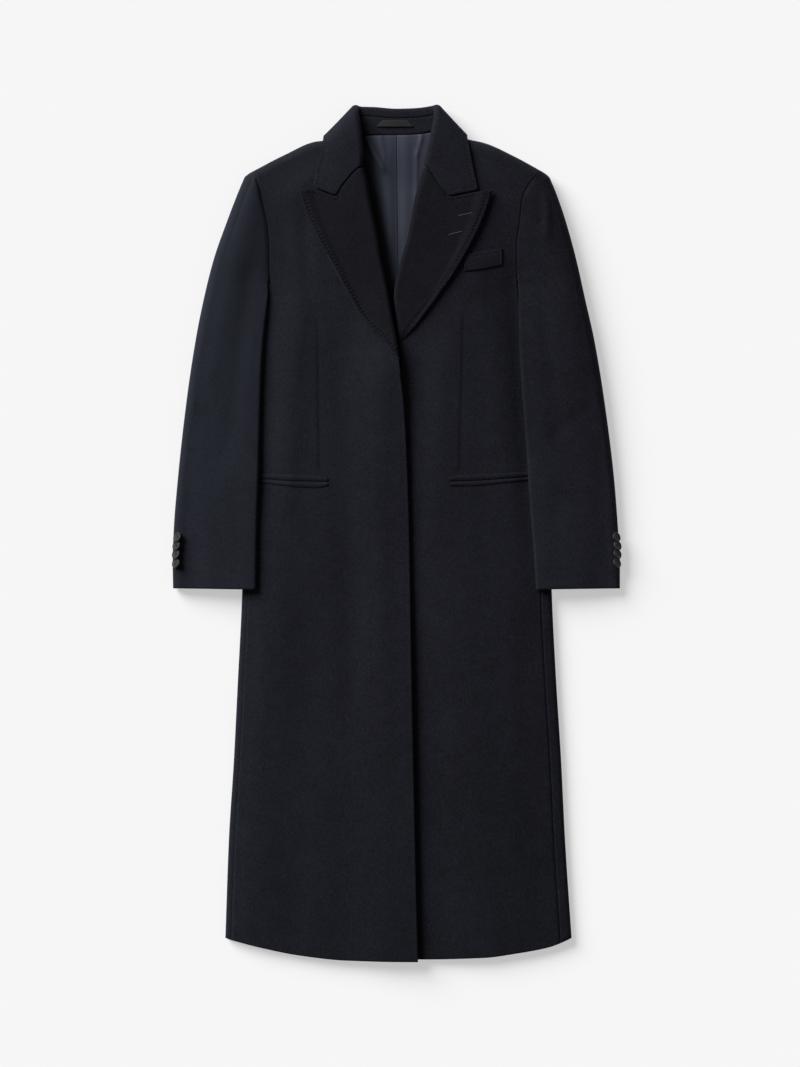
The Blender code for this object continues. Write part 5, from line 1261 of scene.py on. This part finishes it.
def build_button(name, which, x, y):
    """A turned button: rings of points from its back round the rim to its face, with four holes."""
    middle, turn = button_frame(which, x, y)
    angle = np.arange(BUTTON_SIDES) * 2 * np.pi / BUTTON_SIDES
    profile = [(share, float(button_back(share))) for share in BACK_RINGS]
    profile += [(share, float(button_face(share))) for share in FACE_RINGS]
    rings = []
    for share, height in profile:
        ring = np.stack([np.cos(angle), np.sin(angle), angle * 0], -1) * share * BUTTON_RADIUS
        ring[:, 2] = (height - 0.5) * BUTTON_THICKNESS
        if height > 0.5:
            for hole in HOLE_ANGLES:
                off = np.hypot(ring[:, 0] - HOLE_OUT * np.cos(hole), ring[:, 1] - HOLE_OUT * np.sin(hole))
                ring[:, 2] -= HOLE_DEPTH * smooth(*(HOLE_RADIUS * slope for slope in HOLE_SLOPE), off)
        rings.append(ring)
    ends = [(0, 0, -0.5 * BUTTON_THICKNESS), (0, 0, (float(button_face(0)) - 0.5) * BUTTON_THICKNESS)]
    points = np.concatenate(rings + [ends]) @ turn.T + np.array(middle)
    number = np.arange(len(profile) * BUTTON_SIDES).reshape(len(profile), BUTTON_SIDES)
    after = np.roll(number, -1, 1)
    faces = np.stack([number[:-1], after[:-1], after[1:], number[1:]], -1).reshape(-1, 4).tolist()
    back_middle, face_middle = number.size, number.size + 1
    faces += [(back_middle, b, a) for a, b in zip(number[0], after[0])]
    faces += [(a, b, face_middle) for a, b in zip(number[-1], after[-1])]
    return add_mesh(name, points, faces, "horn")


def build_thread(name, which, x, y):
    """The crossed threads through a button's four holes."""
    middle, turn = button_frame(which, x, y)
    bars = []
    face = (float(button_face(0)) - 0.5) * BUTTON_THICKNESS
    for degrees, lift in THREAD_BARS:
        way = np.array([np.cos(np.radians(degrees)), np.sin(np.radians(degrees)), 0])
        run = np.linspace(-1, 1, 9)[:, None]
        line = way * HOLE_OUT * run + [0, 0, 1] * (face + lift - THREAD_SINK * run**4)
        bars.append(line @ turn.T + np.array(middle))
    return tubes(name, bars, THREAD_RADIUS)


def tubes(name, lines, radius, sides=8):
    """Round threads along lines of points, joined into one piece."""
    points, faces = [], []
    for line in lines:
        along = unit(np.gradient(line, axis=0))
        aside = unit(np.cross(along, [0.13, 0.31, 0.94]))
        above = np.cross(aside, along)
        first = len(points)
        for place, a, b, share in zip(line, aside, above, np.linspace(-1, 1, len(line))):
            wide = radius * (1 - THREAD_TAPER * share**6)
            for angle in np.arange(sides) * 2 * np.pi / sides:
                points.append(place + (a * np.cos(angle) + b * np.sin(angle)) * wide)
        for i in range(len(line) - 1):
            for k in range(sides):
                low, high = first + i * sides, first + (i + 1) * sides
                faces.append((low + k, low + (k + 1) % sides, high + (k + 1) % sides, high + k))
        faces.append(tuple(first + k for k in reversed(range(sides))))
        faces.append(tuple(first + (len(line) - 1) * sides + k for k in range(sides)))
    return add_mesh(name, points, faces, "thread")


# ---------------------------------------------------------------- sewn marks

# (x and y of its start, x and y of its end) of each worked buttonhole in the left lapel.
BUTTONHOLES = [((0.0901, 0.4618), (0.1105, 0.4662)), ((0.0755, 0.4341), (0.0959, 0.4392))]
HOLE_STITCHES = 21  # whipped stitches round each
STITCH_POINTS = 20  # points round one of them
STITCH_WIDTH = 0.00055  # how far it reaches each side of the cord
STITCH_LIFT = 0.0002  # how high the cord lies on the cloth, and the stitches over it
CORD_RADIUS = 0.00030


def surface_line(piece, start, end, count, lift):
    """Points along a straight line on a piece's upper face."""
    line = []
    for share in np.linspace(0, 1, count):
        x, y = part_way(np.array(start), np.array(end), share)
        place, normal = piece.ray_cast((x, y, 1), (0, 0, -1))[1:3]
        line.append(np.array(place) + np.array(normal) * lift)
    return np.array(line)


def build_buttonhole(name, piece, start, end):
    """Close whipped stitches over a cord along each lip of the hole."""
    spine = surface_line(piece, start, end, 60, STITCH_LIFT)
    along = unit(np.gradient(spine, axis=0))
    aside = unit(np.cross([0, 0, 1], along))
    turns = np.linspace(0, 2 * np.pi * HOLE_STITCHES, STITCH_POINTS * HOLE_STITCHES)[:, None]
    at = np.linspace(0, len(spine) - 1, len(turns))
    middle, out = (np.stack(read(line, at), -1) for line in (spine, aside))
    wave = middle + out * STITCH_WIDTH * np.cos(turns) + np.array([0, 0, 1]) * STITCH_LIFT * np.sin(turns)
    return tubes(name, [wave, spine], CORD_RADIUS, sides=6)


# ---------------------------------------------------------------- finishes


class Value:
    """A number that changes over a surface. Arithmetic on it adds the nodes that work it out."""

    def __init__(self, finish, socket):
        self.finish, self.socket = finish, socket

    def math(self, operation, *others):
        inputs = dict(enumerate((self, *others)))
        return self.finish.node("ShaderNodeMath", {"operation": operation}, inputs)

    def __add__(self, other):
        return self.math("ADD", other)

    def __mul__(self, other):
        return self.math("MULTIPLY", other)

    def __sub__(self, other):
        return self.math("SUBTRACT", other)

    def __rsub__(self, other):
        return self.finish.node("ShaderNodeMath", {"operation": "SUBTRACT"}, {0: other, 1: self})

    def __truediv__(self, other):
        return self.math("DIVIDE", other)

    __radd__ = __add__
    __rmul__ = __mul__

    def step(self, start, end):
        """0 at start, 1 at end and a soft step between."""
        inputs = {"Value": self, "From Min": start, "From Max": end, "To Min": 0.0, "To Max": 1.0}
        return self.finish.node("ShaderNodeMapRange", {"interpolation_type": "SMOOTHSTEP"}, inputs)


class Finish:
    """A material built on one Principled shader, whose uniform values are set on its sockets."""

    def __init__(self, name, **uniform):
        self.material = bpy.data.materials.new(name)
        self.material.use_nodes = True
        self.tree = self.material.node_tree
        self.shader = self.tree.nodes["Principled BSDF"]
        for key, value in uniform.items():
            self.shader.inputs[key.replace("_", " ")].default_value = value

    def node(self, kind, settings, inputs, out=0):
        made = self.tree.nodes.new(kind)
        for key, value in settings.items():
            setattr(made, key, value)
        for key, value in inputs.items():
            if isinstance(value, Value):
                self.tree.links.new(value.socket, made.inputs[key])
            else:
                made.inputs[key].default_value = value
        return Value(self, made.outputs[out])

    def link(self, socket, value):
        self.tree.links.new(value.socket, self.shader.inputs[socket])

    def place(self, stretch=(1, 1, 1)):
        """Where a point is on its piece, in metres, stretched along each axis."""
        at = self.node("ShaderNodeTexCoord", {}, {}, "Object")
        return self.node("ShaderNodeVectorMath", {"operation": "MULTIPLY"}, {0: at, 1: stretch})

    def part(self, vector, axis):
        """One of a vector's three numbers."""
        return self.node("ShaderNodeSeparateXYZ", {}, {0: vector}, axis)

    def noise(self, place, size, detail=2.0, roughness=0.5):
        inputs = {"Vector": place, "Scale": 1 / size, "Detail": detail, "Roughness": roughness}
        return self.node("ShaderNodeTexNoise", {}, inputs, "Fac")

    def mix(self, share, start, end):
        start, end = (colour if isinstance(colour, Value) else (*colour, 1) for colour in (start, end))
        return self.node("ShaderNodeMix", {"data_type": "RGBA"}, {0: share, 6: start, 7: end}, 2)

    def bump(self, height, distance, strength=1.0):
        inputs = {"Height": height, "Distance": distance, "Strength": strength}
        return self.node("ShaderNodeBump", {}, inputs, "Normal")


STITCH_PITCH = 0.0056
STITCH_REACH = 0.0034  # each side of the stitches, to where the cloth lies flat again
THREAD_REACH = 0.0011  # the same for the thread that shows
STITCH_LINE = 0.0004  # half width of the deepest line between them


def stitch_marks(wool):
    """The dimples and the thread of each stitch, beside the lines that the cloth's points name."""
    beside = wool.node("ShaderNodeAttribute", {"attribute_name": "stitching"}, {}, "Vector")
    along, off, depth = (wool.part(beside, axis) for axis in "XYZ")
    off = off.math("ABSOLUTE")
    from_stitch = ((along / STITCH_PITCH).math("FRACT") - 0.5).math("ABSOLUTE")
    dimple = off.step(STITCH_REACH, STITCH_LINE) * (from_stitch.step(0.45, 0.05) * 0.8 + 0.2) * depth
    return dimple, off.step(THREAD_REACH, STITCH_LINE) * from_stitch.step(0.20, 0.10) * depth


def wool_finish(name, dark, light, level=0.40, stitched=True):
    """Brushed coating: a short nap that lies down the coat, mottled and clouded a little. Its colour has
    painted light in it: lighter towards the right side, which faces the light, gently on the body, where
    it is also lighter towards the collar, and more up the sleeves, which have no stitches."""
    wool = Finish(name, Roughness=0.85, Sheen_Weight=0.06, Sheen_Roughness=0.45,
                  Sheen_Tint=(0.55, 0.62, 0.85, 1), Specular_IOR_Level=0.10)
    fibres = wool.noise(wool.place((1, 0.35, 1)), 0.0011, 3.0, 0.65)
    nap = wool.noise(wool.place((1, 0.6, 1)), 0.0032, 2.0, 0.6)
    mottle = wool.noise(wool.place(), 0.021, 3.0, 0.55)
    cloud = wool.noise(wool.place((1, 0.5, 1)), 0.110, 2.0, 0.5)
    across, up = (wool.part(wool.place(), axis) for axis in "XY")
    # painted sheen tint: greener along the right side, which faces the light; stitched pieces are greener
    # low down too, and the sleeves only higher up
    sheen_and_low_tint = across.step(-0.16, -0.26)
    if stitched:
        # painted light: lighter towards the right side, which faces the light, and towards the collar
        lean = across * -0.8 + up * 0.2
        sheen_and_low_tint = sheen_and_low_tint + up.step(-0.20, -0.55) * 0.4
    else:
        # painted light: the sleeves are lighter towards the right side, more so higher up
        lean = across * (up.step(-0.05, 0.45) * -1.6 - 0.4)
        sheen_and_low_tint = sheen_and_low_tint * up.step(-0.05, 0.10)
    shade = (fibres - 0.5) * 1.9 + (nap - 0.5) * 0.7 + (mottle - 0.5) * 0.4 + (cloud - 0.5) * 0.5
    shade = shade + lean + level
    height = fibres * 0.6 + nap * 0.6
    if stitched:
        dimple, thread = stitch_marks(wool)
        # painted shade in the stitches' dimples, and darker along the thread
        shade = shade - dimple * 0.08 - thread * 0.08
        height = height - dimple * 1.7 - thread * 0.1
    light = wool.mix(sheen_and_low_tint, light, light * SHEEN_AND_LOW_TINT)
    wool.link("Base Color", wool.mix(shade, dark, light))
    wool.link("Normal", wool.bump(height, 0.00045, 0.9))
    return wool


# The line along which the lining's painted shadow under the right lapel's roll starts.
ROLL_AT = 0.0514  # x at which the line of the right lapel's roll would cross y = 0
ROLL_SLANT = 0.188  # how much further right it lies for each metre up


def satin_finish():
    """Smooth satin, with a painted shadow that darkens it to almost nothing deep under the right lapel's
    roll.
    """
    satin = Finish("satin lining", Roughness=0.55, Specular_IOR_Level=0.15)
    threads = satin.noise(satin.place((1, 0.08, 1)), 0.00045, 2.0, 0.5)
    slub = satin.noise(satin.place((1, 0.25, 1)), 0.0180, 2.0, 0.5)
    x, y = (satin.part(satin.place(), axis) for axis in "XY")
    shadow_from_roll = x + y * ROLL_SLANT - ROLL_AT
    # painted shadow: near black beside the roll, full satin tone from 27 mm out
    tone = shadow_from_roll.step(0.004, 0.027) * (threads * 0.15 + slub * 0.20 + 0.62)
    satin.link("Base Color", satin.mix(tone, (0.0012, 0.0014, 0.0020), (0.046, 0.052, 0.073)))
    satin.link("Normal", satin.bump(threads * 0.5 + slub, 0.00008, 0.5))
    return satin


RIB_PITCH = 0.0011


def ribbon_finish():
    """Matte ribbon with close ribs across it, worn a little unevenly."""
    ribbon = Finish("hanger ribbon", Roughness=0.60, Specular_IOR_Level=0.2)
    at = ribbon.part(ribbon.place(), "X")
    ribs = (at * (2 * np.pi / RIB_PITCH)).math("SINE") * 0.5 + 0.5
    wear = ribbon.noise(ribbon.place(), 0.006)
    tone = ribs * 0.5 + wear * 0.5
    ribbon.link("Base Color", ribbon.mix(tone, (0.009, 0.0094, 0.0100), (0.020, 0.0205, 0.0215)))
    ribbon.link("Normal", ribbon.bump(ribs, 0.00015, 0.6))
    return ribbon


def horn_finish():
    """Dark horn: cloudy streaks under a semi-polished face."""
    horn = Finish("horn button", Roughness=0.45, Specular_IOR_Level=0.22)
    streaks = horn.noise(horn.place((1, 0.4, 0.7)), 0.0022, 4.0, 0.6)
    clouds = horn.noise(horn.place(), 0.0060, 2.0, 0.5)
    scuffs = horn.noise(horn.place(), 0.0006, 3.0, 0.6)
    tone = (streaks * 0.6 + clouds * 0.4).step(0.3, 0.75)
    horn.link("Base Color", horn.mix(tone, (0.007, 0.0069, 0.0070), (0.030, 0.029, 0.028)))
    horn.link("Roughness", scuffs * 0.22 + 0.36)
    horn.link("Normal", horn.bump(scuffs, 0.00004, 0.5))
    return horn


def thread_finish():
    """Dull sewing thread, a little lighter than the cloth."""
    thread = Finish("sewing thread", Roughness=0.6, Sheen_Weight=0.2)
    ply = thread.noise(thread.place(), 0.0004)
    thread.link("Base Color", thread.mix(ply, (0.014, 0.015, 0.021), (0.034, 0.036, 0.046)))
    thread.link("Normal", thread.bump(ply, 0.00008, 0.7))
    return thread


WOOL_DARK = np.array((0.0034, 0.0036, 0.0058))
WOOL_LIGHT = np.array((0.0144, 0.0148, 0.0226))
SHEEN_AND_LOW_TINT = np.array((0.97, 1.12, 1.04))  # painted sheen tint: a little greener along the right side, which faces the light, and low down
LAPEL_PAINTED_SHADE = 0.66  # painted shade: the lapels' copy of the wool is darker, as their nap lies the other way
FINISHES = {
    "wool": wool_finish("wool coating", WOOL_DARK, WOOL_LIGHT),
    "lapel wool": wool_finish("wool coating, lapels", WOOL_DARK * LAPEL_PAINTED_SHADE, WOOL_LIGHT * LAPEL_PAINTED_SHADE),
    # painted light: the sleeves' copy of the wool starts lighter than the body's
    "sleeve wool": wool_finish("wool coating, sleeves", WOOL_DARK, WOOL_LIGHT, 0.62, stitched=False),
    "satin": satin_finish(),
    "ribbon": ribbon_finish(),
    "horn": horn_finish(),
    "thread": thread_finish(),
}


# ---------------------------------------------------------------- the coat

# (slot, the width and length it was cut to, its flat area if it isn't a whole rectangle) of each
# kind of cloth piece.
CUTS = {
    "back": ("wool", (0.56, 1.24), 0.557),
    "front": ("wool", (0.30, 1.24), 0.267),
    "jet": ("wool", (0.0110, 0.1150), 0.00088),
    "welt": ("wool", (0.0260, 0.0560), None),
    "lapel": ("wool", (0.135, 0.330), 0.0230),
    "top sleeve": ("wool", (0.190, 0.640), 0.0710),
    "under sleeve": ("wool", (0.190, 0.640), 0.0635),
    "collar": ("wool", (0.110, 0.480), 0.0310),
    "stand": ("wool", (0.0280, 0.260), 0.0058),
    "lining": ("satin", (0.0760, 0.330), 0.0195),
    "loop": ("ribbon", (0.0110, 0.0560), 0.00048),
}


def belongs(piece, slot, *nodes):
    """The piece rides with the coat and stands for those nodes. slot is not used."""
    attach(piece, "root")
    if nodes:
        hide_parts(*nodes)


def lay(piece, kind, node, *rests_on):
    """The piece is a sheet of cloth that stands for a node. rests_on, the other pieces it lies on, is not
    used.
    """
    slot, flat, area = CUTS[kind]
    belongs(piece, slot, node)


lay(build_back(), "back", "back")
for which in SIGN:
    front_piece = build_front(which)
    lay(front_piece, "front", f"front_{which}", "back_cloth")
    for jet, kind in zip(build_pocket(which), ("upper", "lower")):
        lay(jet, "jet", f"pocket_{which}_{kind}_jet", front_piece.name)
    if which == "left":
        lay(build_welt(), "welt", "breast_welt", front_piece.name)
    lapel_piece = build_lapel(which)
    lay(lapel_piece, "lapel", f"lapel_{which}", front_piece.name)
    belongs(build_armhole_seam(which), "wool")
    belongs(build_underarm(which), "wool")
    for sleeve_piece, kind in zip(build_sleeve(which), ("top", "under")):
        lay(sleeve_piece, f"{kind} sleeve", f"sleeve_{which}_{kind}", "back_cloth")
    for number, place in enumerate(CUFF_BUTTONS[which], 1):
        node = f"cuff_button_{which}_{number}"
        belongs(build_button(f"{node}_horn", which, *place), "horn", node)
        belongs(build_thread(f"{node}_thread", which, *place), "wool")

bpy.context.view_layer.update()
for number, (start, end) in enumerate(BUTTONHOLES, 1):
    belongs(build_buttonhole(f"lapel_buttonhole_{number}", lapel_piece, start, end), "wool")

collar_piece, stand_piece = build_collar()
lay(collar_piece, "collar", "collar", "back_cloth", "front_right_cloth", "front_left_cloth")
lay(stand_piece, "stand", "collar_stand", "collar_cloth")
for lining_piece, which in zip(build_lining(), SIGN):
    lay(lining_piece, "lining", f"lining_{which}", "back_cloth")
lay(build_loop(), "loop", "hanger_loop", "collar_stand_cloth")


# ---------------------------------------------------------------- floor, light and camera


FLOOR_REACH = 6
FLOOR_TOP = -0.0004  # so that it doesn't flicker through the cloth that lies on it


def build_floor():
    corners = [(-1, -1), (1, -1), (1, 1), (-1, 1)]
    points = [(x * FLOOR_REACH, y * FLOOR_REACH, FLOOR_TOP) for x, y in corners]
    mesh = bpy.data.meshes.new("floor")
    mesh.from_pydata(points, [], [(0, 1, 2, 3)])
    card = Finish("floor card", Roughness=0.9, Specular_IOR_Level=0.0, Base_Color=(0.47, 0.468, 0.47, 1),
                  Emission_Color=(1, 0.997, 1, 1), Emission_Strength=0.47)
    mesh.materials.append(card.material)
    floor = bpy.data.objects.new("floor", mesh)
    bpy.context.scene.collection.objects.link(floor)


def add_sun(name, azimuth, elevation, strength, softness):
    """A soft sun. Its azimuth turns from +Y towards -X, and softness is its width in degrees."""
    light = bpy.data.lights.new(name, "SUN")
    light.energy = strength
    light.angle = np.radians(softness)
    lamp = bpy.data.objects.new(name, light)
    across, up = np.radians(azimuth), np.radians(elevation)
    towards = Vector((-np.sin(across) * np.cos(up), np.cos(across) * np.cos(up), np.sin(up)))
    lamp.rotation_mode = "QUATERNION"
    lamp.rotation_quaternion = towards.to_track_quat("Z", "Y")
    bpy.context.scene.collection.objects.link(lamp)


def add_camera(middle, distance, seen_length):
    """A camera that looks straight down at a point and sees that length of the floor."""
    data = bpy.data.cameras.new("camera")
    data.sensor_width = 36
    data.lens = data.sensor_width * distance / seen_length
    data.clip_end = 100
    camera = bpy.data.objects.new("camera", data)
    camera.location = (*middle, distance)
    bpy.context.scene.collection.objects.link(camera)
    bpy.context.scene.camera = camera


build_floor()
add_sun("window light", azimuth=48, elevation=30, strength=5.1, softness=38)
world = bpy.data.worlds.new("studio")
world.use_nodes = True
background = world.node_tree.nodes["Background"]
background.inputs["Color"].default_value = (1, 1, 1, 1)
background.inputs["Strength"].default_value = 0.16
bpy.context.scene.world = world
bpy.context.scene.view_settings.view_transform = "Standard"
add_camera(middle=(0.0054, -0.0003), distance=8, seen_length=1.5578)
